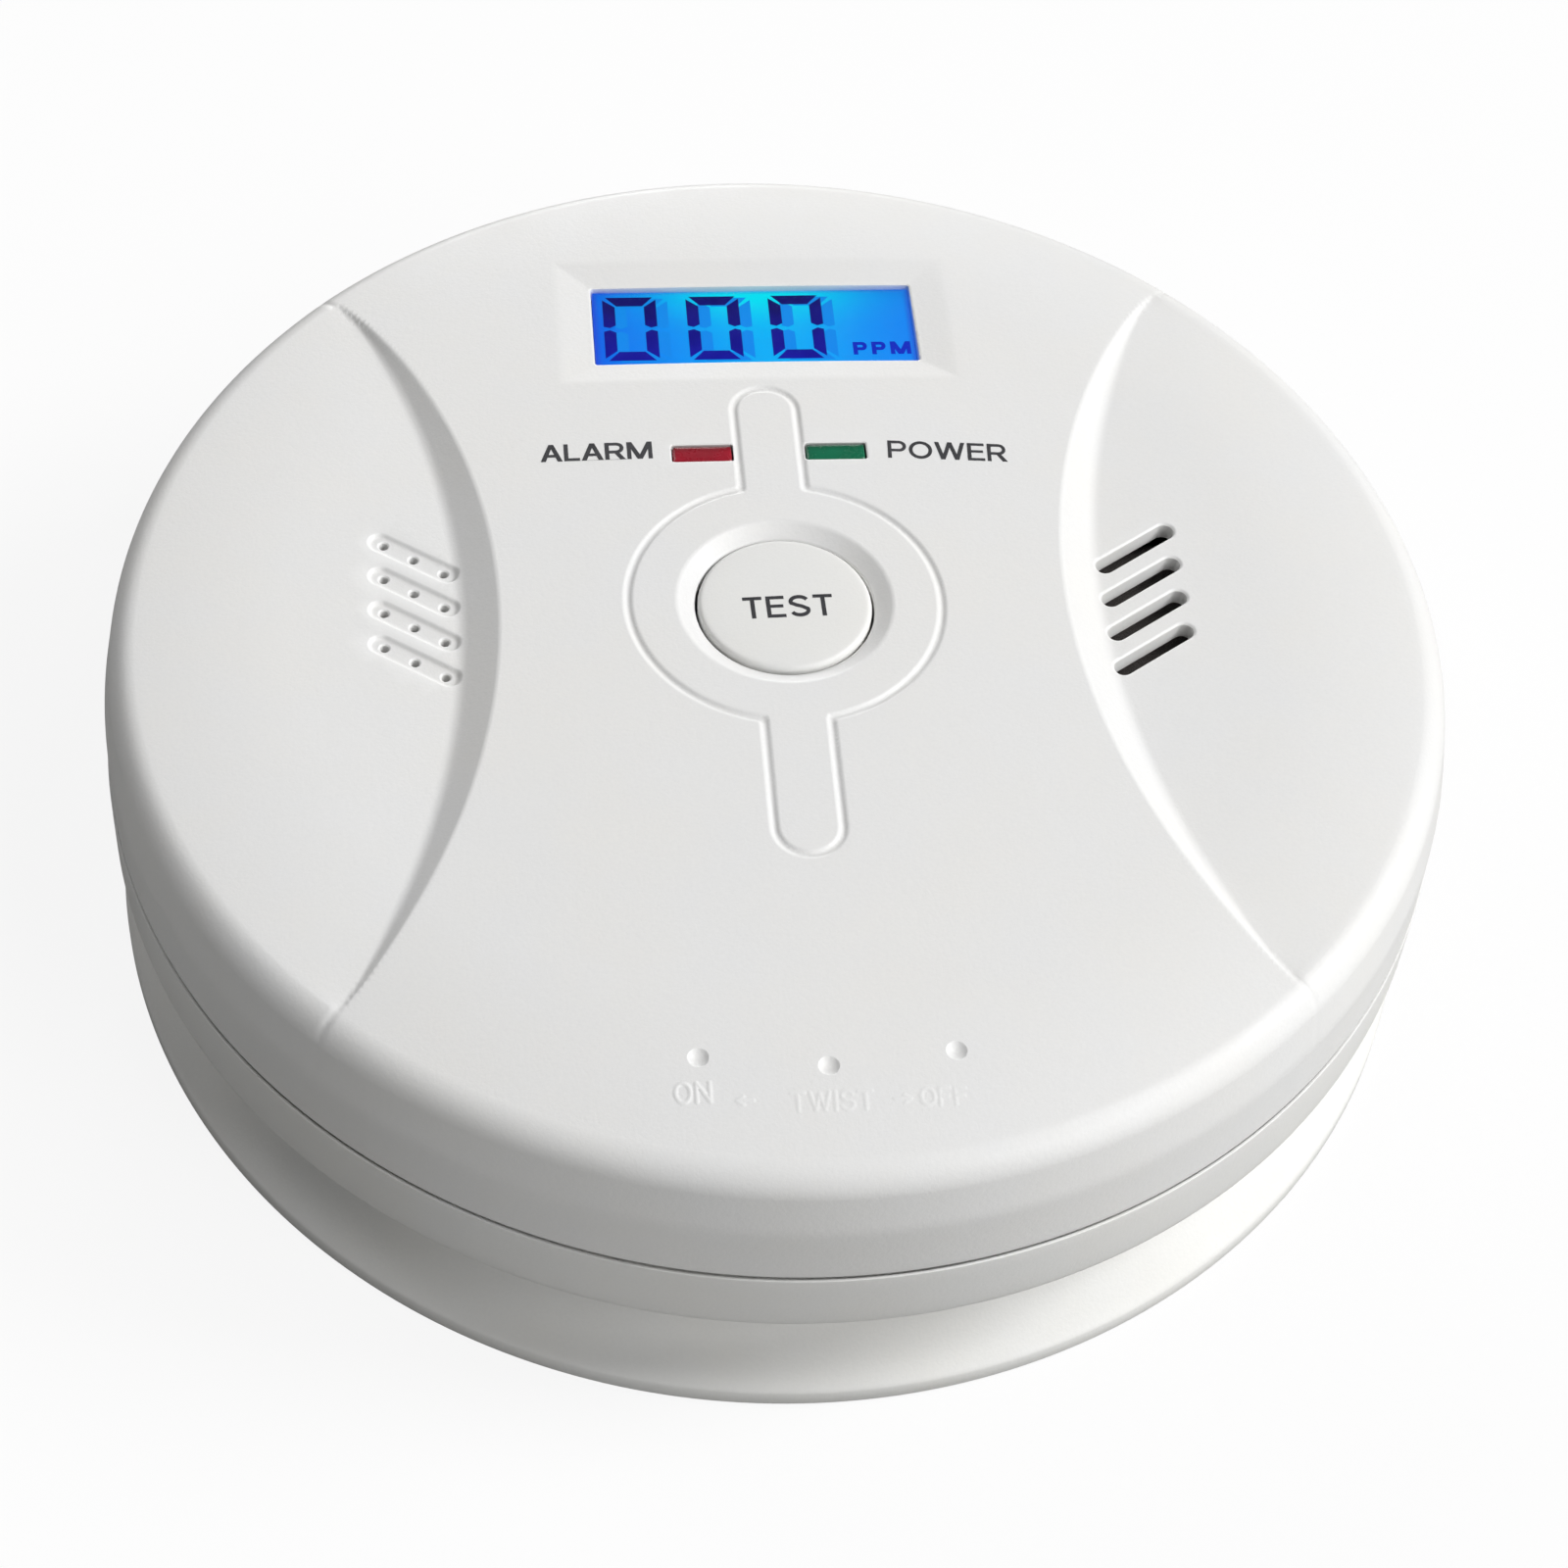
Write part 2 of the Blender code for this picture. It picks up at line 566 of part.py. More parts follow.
def build_wall_plate():
    profile = [(0, 0.0)] + PLATE_FLARE
    profile += [(NECK_INNER_R, NECK_TOP), (NECK_INNER_R, PLATE_T), (0, PLATE_T)]
    plate = lathe_object("wall_plate", profile, SEG, abs_white("plate_plastic"))

    # ledges in front of the lugs, then a stop rib behind one end of each ledge
    hooks, stops = bmesh.new(), bmesh.new()
    for deg in HOOK_ANGLES:
        end = deg - HOOK_HALF
        add_sector(hooks, HOOK_R, NECK_INNER_R + 0.6, end - HOOK_EXTRA, deg + HOOK_HALF,
                   HOOK_Z0, HOOK_Z1, 4)
        add_sector(stops, HOOK_R + 0.35, NECK_INNER_R + 0.85, end - STOP_FROM, end - STOP_TO,
                   PLATE_T - 0.8, HOOK_Z0 + 0.6, 1)
    boolean(plate, finish("plate_hooks", hooks), "UNION")
    boolean(plate, finish("plate_stops", stops), "UNION")

    # round-ended screw slots, each in a wider sunk step
    slots, sinks = bmesh.new(), bmesh.new()
    for x, turn in PLATE_SLOTS:
        add_prism(slots, capsule(x, PLATE_SLOT_Y, *PLATE_SLOT_SIZE, turn, 6), -1, 3)
        add_prism(sinks, capsule(x, PLATE_SLOT_Y, *PLATE_SINK_SIZE, turn, 6), PLATE_T - 0.9, 3)
    boolean(plate, finish("plate_cut_countersinks", sinks))
    boolean(plate, finish("plate_cut_slots", slots))


# ------------------------------------------------------------------ display
GLASS_GAP = 0.2             # round the front glass
REAR_GLASS_X, DISPLAY_TOP_Y = 15.4, 36.8
BACKLIGHT_TOP = 25.25


def build_display():
    box_object("display_front_glass",
               (-WIN_X + GLASS_GAP, WIN_Y0 + GLASS_GAP, 26.95),
               (WIN_X - GLASS_GAP, WIN_Y1 - GLASS_GAP, WIN_Z - 0.15),
               material("display_blue", (0.05, 0.3, 0.9), roughness=0.15))
    box_object("display_rear_glass",
               (-REAR_GLASS_X, 22.9, 25.55), (REAR_GLASS_X, DISPLAY_TOP_Y, 26.65),
               material("display_glass", (0.45, 0.6, 0.8), roughness=0.1))
    box_object("backlight_guide",
               (-REAR_GLASS_X, 25.1, 23.75), (REAR_GLASS_X, DISPLAY_TOP_Y, BACKLIGHT_TOP),
               material("backlight", (0.7, 0.85, 1.0), roughness=0.4))
    # conductive rubber strip between the rear glass and the board
    box_object("display_connector",
               (-14.5, 23.0, BOARD_TOP + 0.3), (14.5, 24.8, BACKLIGHT_TOP),
               material("rubber_grey", (0.25, 0.25, 0.27), roughness=0.7))
    frame = box_object("display_frame", (-16.5, 22.2, 21.7), (16.5, 37.5, 26.5),
                       material("frame_plastic", (0.75, 0.75, 0.73), roughness=0.5))
    boolean(frame, box_object("display_frame_cut", (-15.7, 22.6, 20), (15.7, 37.1, 28)))


# ------------------------------------------------------------------ lamps
LAMP_BASE_X, LAMP_BASE_Y = 2.8, 1.35        # half sizes
LEG_OFFSET, LEG_HALF = 1.27, 0.25


def build_lamp(name, side, colour):
    """A rectangular lens on a wider base with two legs; side is -1 or +1 in X."""
    x = side * LAMP_X
    lens = box_object(name, (x - LAMP_L / 2, LAMP_Y - LAMP_W / 2, 22.9),
                      (x + LAMP_L / 2, LAMP_Y + LAMP_W / 2, 29.1),
                      material(name + "_resin", colour, roughness=0.25))
    base = box_object(name + "_base", (x - LAMP_BASE_X, LAMP_Y - LAMP_BASE_Y, 22.4),
                      (x + LAMP_BASE_X, LAMP_Y + LAMP_BASE_Y, 23.6))
    legs = bmesh.new()
    for offset in (-LEG_OFFSET, LEG_OFFSET):
        add_box(legs, (x + offset - LEG_HALF, LAMP_Y - LEG_HALF, PART_Z),
                (x + offset + LEG_HALF, LAMP_Y + LEG_HALF, 22.8))
    boolean(lens, base, "UNION")
    boolean(lens, finish(name + "_legs", legs), "UNION")


# ------------------------------------------------------------------ test button and its switch
BUTTON_R, BUTTON_TOP = 6.4, 28.95
FLANGE_R, FLANGE_Z0, FLANGE_Z1 = 7.7, 24.95, 25.7
NUB_R, NUB_Z = 1.6, 24.65
SWITCH_HALF, SWITCH_TOP = 3.0, 23.7
PLUNGER_R, PLUNGER_TOP = 1.65, 24.3


def build_button():
    button = lathe_object("test_button", [
        (0, BUTTON_TOP + 0.15), (3.6, BUTTON_TOP + 0.1), (BUTTON_R - 0.5, BUTTON_TOP),
        (BUTTON_R, BUTTON_TOP - 0.45), (BUTTON_R, FLANGE_Z1), (FLANGE_R, FLANGE_Z1),
        (FLANGE_R, FLANGE_Z0), (NUB_R, FLANGE_Z0), (NUB_R, NUB_Z), (0, NUB_Z),
    ], 36, abs_white("button_plastic"))
    set_origin(button, (0, 0, BUTTON_TOP))


def build_switch():
    body = box_object("switch_body", (-SWITCH_HALF, -SWITCH_HALF, PART_Z),
                      (SWITCH_HALF, SWITCH_HALF, SWITCH_TOP),
                      material("switch_plastic", (0.03, 0.03, 0.035), roughness=0.4))
    boolean(body, lathe_object("switch_cut", disc(PLUNGER_R + 0.3, 22.2, 25), 16, smooth=None))
    plunger = lathe_object("switch_plunger", disc(PLUNGER_R, 22.6, PLUNGER_TOP), 16,
                           material("plunger_plastic", (0.5, 0.05, 0.04), roughness=0.45))
    set_origin(plunger, (0, 0, PLUNGER_TOP))


# ------------------------------------------------------------------ main board
NOTCH_X, NOTCH_Y = 22.2, 12.0       # the notches for sensor and buzzer: |x| of the floor, half width


def build_main_board():
    edge = math.asin(NOTCH_Y / BOARD_R)
    outline = []
    for start, side in ((0, -1), (math.pi, 1)):
        outline += arc(0, 0, BOARD_R, start + edge, start + math.pi - edge, 24)
        outline += [(side * NOTCH_X, -side * NOTCH_Y), (side * NOTCH_X, side * NOTCH_Y)]
    shape = bmesh.new()
    add_prism(shape, outline, BOARD_Z, BOARD_TOP)
    board = finish("main_board", shape,
                   material("board_green", (0.02, 0.16, 0.06), roughness=0.35))
    holes = bmesh.new()
    for spot in BOARD_SCREWS:
        add_cylinder(holes, spot, 1.6, 18, 24, 10)
    boolean(board, finish("board_holes", holes))


# ------------------------------------------------------------------ screws
SHANK_R = 1.22
CROSS_LONG, CROSS_SHORT = 1.1, 0.22     # half sizes of the two slots in the head


def screw(name, spot, head_r, head_z0, head_z1, tip_z):
    """A cross-slotted screw with its head to the back and its tip to the front."""
    x, y = spot
    obj = lathe_object(name, [
        (0, head_z0), (head_r - 0.5, head_z0), (head_r, head_z0 + 0.6), (head_r, head_z1),
        (SHANK_R, head_z1), (SHANK_R, tip_z - 1.2), (0, tip_z),
    ], 12, material(name + "_steel", (0.55, 0.55, 0.56), roughness=0.3, metallic=1.0),
        centre=(x, y, 0), smooth=40)
    for suffix, half_x, half_y in (("a", CROSS_LONG, CROSS_SHORT),
                                   ("b", CROSS_SHORT, CROSS_LONG)):
        boolean(obj, box_object(f"{name}_slot_{suffix}",
                                (x - half_x, y - half_y, head_z0 - 0.5),
                                (x + half_x, y + half_y, head_z0 + 0.8)))


def build_screws():
    for i, spot in enumerate(CASE_SCREWS, 1):
        screw(f"case_screw_{i}", spot, head_r=2.5, head_z0=11.5, head_z1=13.4, tip_z=24.0)
    for i, spot in enumerate(BOARD_SCREWS, 1):
        screw(f"board_screw_{i}", spot, head_r=2.3, head_z0=18.1, head_z1=BOARD_Z - 0.3,
              tip_z=25.2)


# ------------------------------------------------------------------ cells and contacts
CELLS = ((-CELL_PITCH, 1), (0.0, -1), (CELL_PITCH, 1))   # x, way the raised end points in Y
CAP_R, CAP_H = 2.75, 1.1            # raised end of a cell
CONTACT_T = 0.4
CONTACT_Z0, CONTACT_Z1 = 4.6, 15.4
PLATE_HALF = 4.8                    # half width of a contact over one cell
BRIDGE_REACH = 5.0                  # how far a bridge goes past the middle cell's axis
PLATE_OUT, PLATE_IN = CELL_PITCH + PLATE_HALF, CELL_PITCH - PLATE_HALF
TAB_HALF = 1.5
SPRING_TURNS, SPRING_STEPS = 3, 9   # steps per turn
SPRING_R0, SPRING_R1, SPRING_WIRE_R = 4.4, 2.6, 0.38
SPRING_END_Y = CELL_LEN - CELL_END_Y + 0.85


def build_cells():
    profile = [
        (0, CELL_LEN), (CAP_R - 0.25, CELL_LEN), (CAP_R, CELL_LEN - 0.3),
        (CAP_R, CELL_LEN - CAP_H), (CELL_R - 0.6, CELL_LEN - CAP_H), (CELL_R, CELL_LEN - 1.6),
        (CELL_R, 0.6), (CELL_R - 0.5, 0.0), (0, 0.0),
    ]
    for i, (x, way) in enumerate(CELLS, 1):
        sleeve = material(f"cell_{i}_sleeve", (0.10, 0.11, 0.13), roughness=0.3, metallic=0.2)
        lathe_object(f"battery_cell_{i}", profile, 18, sleeve,
                     centre=(x, way * (CELL_END_Y - CELL_LEN), CELL_Z),
                     matrix=Matrix.Rotation(math.radians(-90 * way), 4, "X"))


def spring_path(x, y0, y1):
    """A tapering coil along Y."""
    path = []
    steps = SPRING_TURNS * SPRING_STEPS
    for i in range(steps + 1):
        t = i / steps
        angle = 2 * math.pi * SPRING_TURNS * t
        r = SPRING_R0 + (SPRING_R1 - SPRING_R0) * t
        path.append((x + r * math.cos(angle), y0 + (y1 - y0) * t, CELL_Z + r * math.sin(angle)))
    return path


def contact(name, end, x0, x1, spring_x=None, tab_x=None):
    """Sheet contact at one end of the bay (+1 or -1 in Y), with a coil spring standing on it
    or, if it is a terminal, a tab up to the board, or both."""
    y0, y1 = sorted((end * CONTACT_Y, end * (CONTACT_Y + CONTACT_T)))
    obj = box_object(name, (x0, y0, CONTACT_Z0), (x1, y1, CONTACT_Z1))
    nickel = material(name + "_nickel", (0.7, 0.69, 0.66), roughness=0.25, metallic=1.0)
    obj.data.materials.append(nickel)
    obj.data.shade_smooth()
    obj.data.set_sharp_from_angle(angle=math.radians(40))
    if tab_x is not None:
        tab = box_object(name + "_tab", (tab_x - TAB_HALF, y0, 15.0),
                         (tab_x + TAB_HALF, y1, BOARD_Z - 0.25))
        boolean(obj, tab, "UNION")
    if spring_x is not None:
        spring = bmesh.new()
        path = spring_path(spring_x, end * (CONTACT_Y + 0.15), end * SPRING_END_Y)
        add_tube(spring, path, SPRING_WIRE_R, sides=5)
        boolean(obj, finish(name + "_spring_0", spring), "UNION")


def build_contacts():
    contact("contact_positive", 1, -PLATE_OUT, -PLATE_IN, tab_x=-CELL_PITCH)
    contact("contact_bridge_low", -1, -PLATE_OUT, BRIDGE_REACH, spring_x=-CELL_PITCH)
    contact("contact_bridge_high", 1, -BRIDGE_REACH, PLATE_OUT, spring_x=0.0)
    contact("contact_negative", -1, PLATE_IN, PLATE_OUT, spring_x=CELL_PITCH, tab_x=CELL_PITCH)


# ------------------------------------------------------------------ sensor side
SENSOR_TOP = 24.0
SENSOR_CAN = [      # (r, z), with a ring-shaped hollow in the top
    (0, SENSOR_TOP), (1.0, SENSOR_TOP), (1.0, 23.4), (4.6, 23.4), (5.0, SENSOR_TOP),
    (SENSOR_R - 0.5, SENSOR_TOP), (SENSOR_R, 23.5), (SENSOR_R, 16.6), (0, 16.6),
]
RIBBON_PATH = [(30, 9.2, 15.3), (30, 10.4, 16.6), (30, 12.6, 18.2), (30, 15.0, 19.4)]
RIBBON_HALF_W, RIBBON_HALF_T = 2, 0.25


def build_sensor():
    centre = (SENSOR_X, SENSOR_Y, 0)
    lathe_object("sensor_can", SENSOR_CAN, 28, centre=centre, mat=material(
        "sensor_steel", (0.62, 0.62, 0.63), roughness=0.28, metallic=1.0))
    lathe_object("sensor_base", disc(6.6, 15.1, 16.3), 24, centre=centre, mat=material(
        "sensor_base_plastic", (0.03, 0.03, 0.03), roughness=0.5))
    box_object("sensor_board", (24.6, -8.4, 13.6), (41.6, 10.2, 14.8),
               material("sensor_board_green", (0.02, 0.15, 0.06), roughness=0.35))
    box_object("dust_filter", (22.8, -6.4, 24.25), (31.4, 8.6, 24.95),
               material("felt_dark", (0.05, 0.05, 0.055), roughness=0.95))


def build_ribbon():
    """Flat cable from the sensor board up towards the main board."""
    shape = bmesh.new()
    points = smooth_path(RIBBON_PATH)
    across = Vector((RIBBON_HALF_W, 0, 0))
    rows = []
    for point, along in zip(points, tangents(points)):
        thick = along.cross(Vector((1, 0, 0))) * RIBBON_HALF_T
        offsets = (-across - thick, across - thick, across + thick, -across + thick)
        rows.append(add_ring(shape, [point + offset for offset in offsets]))
    bridge(shape, rows)
    cap(shape, rows[0], rows[-1])
    finish("sensor_ribbon", shape,
           material("ribbon_grey", (0.4, 0.4, 0.42), roughness=0.5), smooth=60)


# ------------------------------------------------------------------ buzzer side
SOUND_HOLE_R = 1.6
BUZZER_TOP, BUZZER_LOW, BUZZER_LEDGE, BUZZER_ROOF = 24.6, 15.6, 20.6, 23.6
LEAD_R, LEAD_TOP = 0.45, 19.3


def build_buzzer():
    centre = (BUZZER_X, BUZZER_Y, 0)
    lathe_object("buzzer_housing", [
        (SOUND_HOLE_R, BUZZER_TOP), (BUZZER_R - 0.5, BUZZER_TOP), (BUZZER_R, 24.1),
        (BUZZER_R, BUZZER_LOW), (BUZZER_R - 1.0, BUZZER_LOW), (BUZZER_R - 1.0, BUZZER_LEDGE),
        (BUZZER_R - 2.0, BUZZER_LEDGE), (BUZZER_R - 2.0, BUZZER_ROOF),
        (SOUND_HOLE_R, BUZZER_ROOF),
    ], 30, material("buzzer_plastic", (0.03, 0.03, 0.03), roughness=0.45), centre)
    lathe_object("buzzer_disc", disc(BUZZER_R - 1.25, 20.05, 20.3), 28, centre=centre,
                 mat=material("disc_brass", (0.75, 0.55, 0.2), roughness=0.3, metallic=1.0))
    lathe_object("buzzer_ceramic", disc(5.8, 19.6, 19.85), 24, centre=centre,
                 mat=material("disc_ceramic", (0.85, 0.83, 0.78), roughness=0.5))


def build_lead(name, offset, colour):
    """A wire from behind the ceramic disc back, along +Y and up towards the board."""
    x = BUZZER_X + offset
    shape = bmesh.new()
    add_tube(shape, smooth_path([
        (x, 2.0, LEAD_TOP), (x, 3.4, 16.0), (x, 8.5, 14.4), (x + 1.5, 13.2, 15.3),
        (x + 2.0, 15.0, LEAD_TOP),
    ]), LEAD_R)
    finish(name, shape, material(name + "_sleeve", colour, roughness=0.45), smooth=60)


# ------------------------------------------------------------------ parts on the main board
CHIP_BLACK = (0.02, 0.02, 0.022)
CAPACITOR_BLUE = (0.08, 0.09, 0.2)
RESISTOR_TAN = (0.55, 0.42, 0.28)
CHIP_BEVEL = 0.3


def chip(name, x, y, width, depth, height, colour=CHIP_BLACK, roughness=0.4, metallic=0.0):
    """A block with bevelled top edges."""
    shape = bmesh.new()
    add_box(shape, (x - width / 2, y - depth / 2, PART_Z),
            (x + width / 2, y + depth / 2, PART_Z + height))
    top = [edge for edge in shape.edges
           if all(abs(v.co.z - PART_Z - height) < 1e-6 for v in edge.verts)]
    bmesh.ops.bevel(shape, geom=top, offset=CHIP_BEVEL, segments=1, affect="EDGES")
    finish(name, shape, material(name + "_body", colour, roughness, metallic))


def drum(name, x, y, radius, height, colour):
    """An upright cylinder with a chamfered top."""
    top = PART_Z + height
    lathe_object(name, [(0, top), (radius - 0.4, top), (radius, top - 0.4), (radius, PART_Z),
                        (0, PART_Z)],
                 20, material(name + "_body", colour, roughness=0.35), centre=(x, y, 0))


def lying(name, x, y, radius, length, colour, roughness):
    """A cylinder lying along X, chamfered at both ends."""
    half = length / 2
    lathe_object(name, [
        (0, half), (radius - 0.3, half), (radius, half - 0.4),
        (radius, -half + 0.4), (radius - 0.3, -half), (0, -half),
    ], 16, material(name + "_body", colour, roughness), centre=(x, y, PART_Z + radius),
        matrix=Matrix.Rotation(math.radians(90), 4, "Y"))


def build_board_parts():
    # name, x, y, width, depth, height
    chip("microcontroller", 0.0, -14.0, 10.0, 10.0, 1.6)
    chip("amplifier_chip", 14.0, -9.0, 5.0, 4.0, 1.6)
    chip("transistor", -15.0, 10.0, 4.6, 3.6, 1.6)
    chip("crystal", -13.5, -13.0, 4.6, 11.0, 3.4,
         colour=(0.6, 0.6, 0.6), roughness=0.25, metallic=1.0)
    chip("ribbon_header", 26.5, 16.2, 8.4, 3.6, 3.0,
         colour=(0.78, 0.77, 0.73), roughness=0.5)
    # name, x, y, radius, height
    drum("buzzer_coil", -15.5, 2.0, 4.0, 4.2, colour=(0.06, 0.05, 0.05))
    drum("capacitor_1", 14.5, -1.0, 2.6, 4.2, colour=CAPACITOR_BLUE)
    drum("capacitor_2", 15.5, 6.5, 2.6, 4.2, colour=CAPACITOR_BLUE)
    # name, x, y, radius, length
    lying("capacitor_3", 11.0, -22.0, 2.0, 9.0, colour=CAPACITOR_BLUE, roughness=0.35)
    for i, (x, y) in enumerate(((-10.0, -24.0), (-10.0, -27.5), (11.0, -27.5)), 1):
        lying(f"resistor_{i}", x, y, 1.1, 6.2, colour=RESISTOR_TAN, roughness=0.5)


# ------------------------------------------------------------------ build
for old in list(bpy.data.objects):
    bpy.data.objects.remove(old, do_unlink=True)

build_front_cover()
build_rear_case()
build_wall_plate()
build_display()
build_lamp("alarm_lamp", -1, colour=(0.35, 0.01, 0.02))
build_lamp("power_lamp", 1, colour=(0.0, 0.13, 0.06))
build_button()
build_switch()
build_main_board()
build_screws()
build_cells()
build_contacts()
build_sensor()
build_ribbon()
build_buzzer()
build_lead("buzzer_lead_red", -1.4, colour=(0.5, 0.02, 0.02))
build_lead("buzzer_lead_black", 1.4, colour=(0.02, 0.02, 0.02))
build_board_parts()
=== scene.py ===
"""Looks of a round carbon monoxide alarm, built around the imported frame.

The alarm lies face up. The wall side of its wall plate is at z = 0 and its front looks to +Z,
with the display towards +Y and the moulded words at the -Y edge. Lengths are in mm; materials,
lamps and floor use metres. Angles are in degrees where they are passed or tabulated.
"""

import math
from functools import cached_property
from types import SimpleNamespace

import bmesh
import bpy
import numpy as np
from mathutils import Matrix, Vector
from mathutils.geometry import delaunay_2d_cdt


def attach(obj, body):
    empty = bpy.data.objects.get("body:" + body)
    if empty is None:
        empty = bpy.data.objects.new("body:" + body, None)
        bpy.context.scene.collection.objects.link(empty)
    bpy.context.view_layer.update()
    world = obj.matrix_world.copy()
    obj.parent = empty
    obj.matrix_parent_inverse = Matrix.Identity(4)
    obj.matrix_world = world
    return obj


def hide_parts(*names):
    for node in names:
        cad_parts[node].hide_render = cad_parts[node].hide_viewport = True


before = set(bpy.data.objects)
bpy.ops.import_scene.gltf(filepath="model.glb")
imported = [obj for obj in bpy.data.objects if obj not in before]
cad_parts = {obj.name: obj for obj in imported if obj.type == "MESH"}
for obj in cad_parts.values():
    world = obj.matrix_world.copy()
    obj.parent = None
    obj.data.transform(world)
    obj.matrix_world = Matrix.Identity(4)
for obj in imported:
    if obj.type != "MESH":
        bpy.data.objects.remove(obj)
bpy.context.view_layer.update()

MM = 0.001
collection = bpy.context.scene.collection

# ================================================================== dimensions
# case, and the seam between the front cover and the rear case
CASE_R, CASE_WALL = 50.0, 2.1
SEAM_Z, SEAM_GAP, SEAM_ROUND = 16.8, 0.3, 0.16
COVER_LOW_R = 49.84
COVER_LOW_Z = SEAM_Z + SEAM_GAP / 2
REAR_TOP_Z = SEAM_Z - SEAM_GAP / 2

# domed front, rolling off from ROLL_R to the rounded rim
TOP_Z, DOME_DROP, DOME_R = 29.35, 1.3, 45.35
ROLL_R, ROLL_DROP, RIM_FLAT_R = 36.0, 0.6, 47.1
ROLL_WIDTH = RIM_FLAT_R - 0.1 - ROLL_R
RIM_FILLET, RIM_TILT, RIM_LOW_R, RIM_LOW_FILLET = 2.5, 80.0, 49.6, 8.0
RIM_COUNT = 720         # points round the rim
INSIDE_R = 44.2         # edge of the cover's inside face

# lowered crescents left and right: each steps down between two arcs (apex x and radius)
STEP_IN_X, STEP_IN_R = 20.8, 56.1
STEP_OUT_X, STEP_OUT_R = 23.6, 71.8
STEP_TIP_Y, STEP_Y0, STEP_DROP, RIM_DROP = 34.2, -0.2, 1.55, 0.2

# button hole with its dish, and the button
HOLE_R, DISH_R, DISH_DEPTH = 6.6, 7.95, 0.75
BUTTON_R, BUTTON_TOP = 6.4, 28.95
BUTTON_CROWN = ((0, 0.12), (2.5, 0.11), (4.6, 0.075), (BUTTON_R - 0.55, 0.02))  # (radius, rise)

# key-shaped groove: a ring crossed by a rounded arm
KEY_R, KEY_ARM, KEY_TOP_Y, KEY_LOW_Y = 11.5, 2.4, 22.1, -23.3
KEY_HALF, KEY_DEPTH = 0.40, 0.175

# display window and the sloped recess round it
WIN_X, WIN_Y0, WIN_Y1, WIN_CORNER = 12.7, 25.5, 34.42, 0.25
RECESS_X, RECESS_Y0, RECESS_Y1, RECESS_DEPTH = 15.4, 23.25, 37.3, 0.27
LEDGE_X, LEDGE_Y0, LEDGE_Y1 = WIN_X + 0.25, WIN_Y0 - 0.25, WIN_Y1 + 0.25

LAMP_X, LAMP_Y, LAMP_L, LAMP_W = 5.07, 15.2, 4.75, 1.9

# four open vent slots on the right (+X); four blind grooves with pin holes on the left
VENT_X, VENT_LEN, VENT_PITCH, VENT_ANGLE = 27.0, 7.4, 3.35, 33.0
SLOT_W, GROOVE_W, GROOVE_DEPTH = 1.45, 1.6, 0.27
VENT_Y_RIGHT, VENT_Y_LEFT = 1.0, 1.5
PIN_R, PIN_PITCH = 0.34, 2.6

# three dimples in a row above the moulded words
DIMPLE_R, DIMPLE_AT_R, DIMPLE_STEP, DIMPLE_DEPTH = 0.72, 40.4, 12.3, 0.26

# rear case: drum on its back, battery bay sunk into it
REAR_Z = 11.2
DRUM_R, DRUM_Z, DRUM_T = 39.6, 3.2, 1.6
BAY_X, BAY_Y, BAY_ROOF, BAY_T = 22.4, 29.0, 17.3, 1.6
SCREW_AT_R, SCREW_ANGLES = 44.3, (45.0, 135.0, 225.0, 315.0)
BOARD_SCREWS = ((27.0, 24.0), (-27.0, 24.0), (0.0, -36.0))

# wall plate, with hooks that catch the drum's lugs
PLATE_R, PLATE_T, NECK_R, NECK_TOP, NECK_T = 50.0, 2.2, 44.5, 10.6, 2.0
HOOK_ANGLES = (20.0, 110.0, 200.0, 290.0)
HOOK_R, HOOK_Z0, HOOK_Z1, HOOK_HALF = 40.35, 8.4, 10.0, 7.0
LUG_R, LUG_Z0, LUG_Z1, LUG_HALF = 41.9, 6.4, 8.0, 6.0


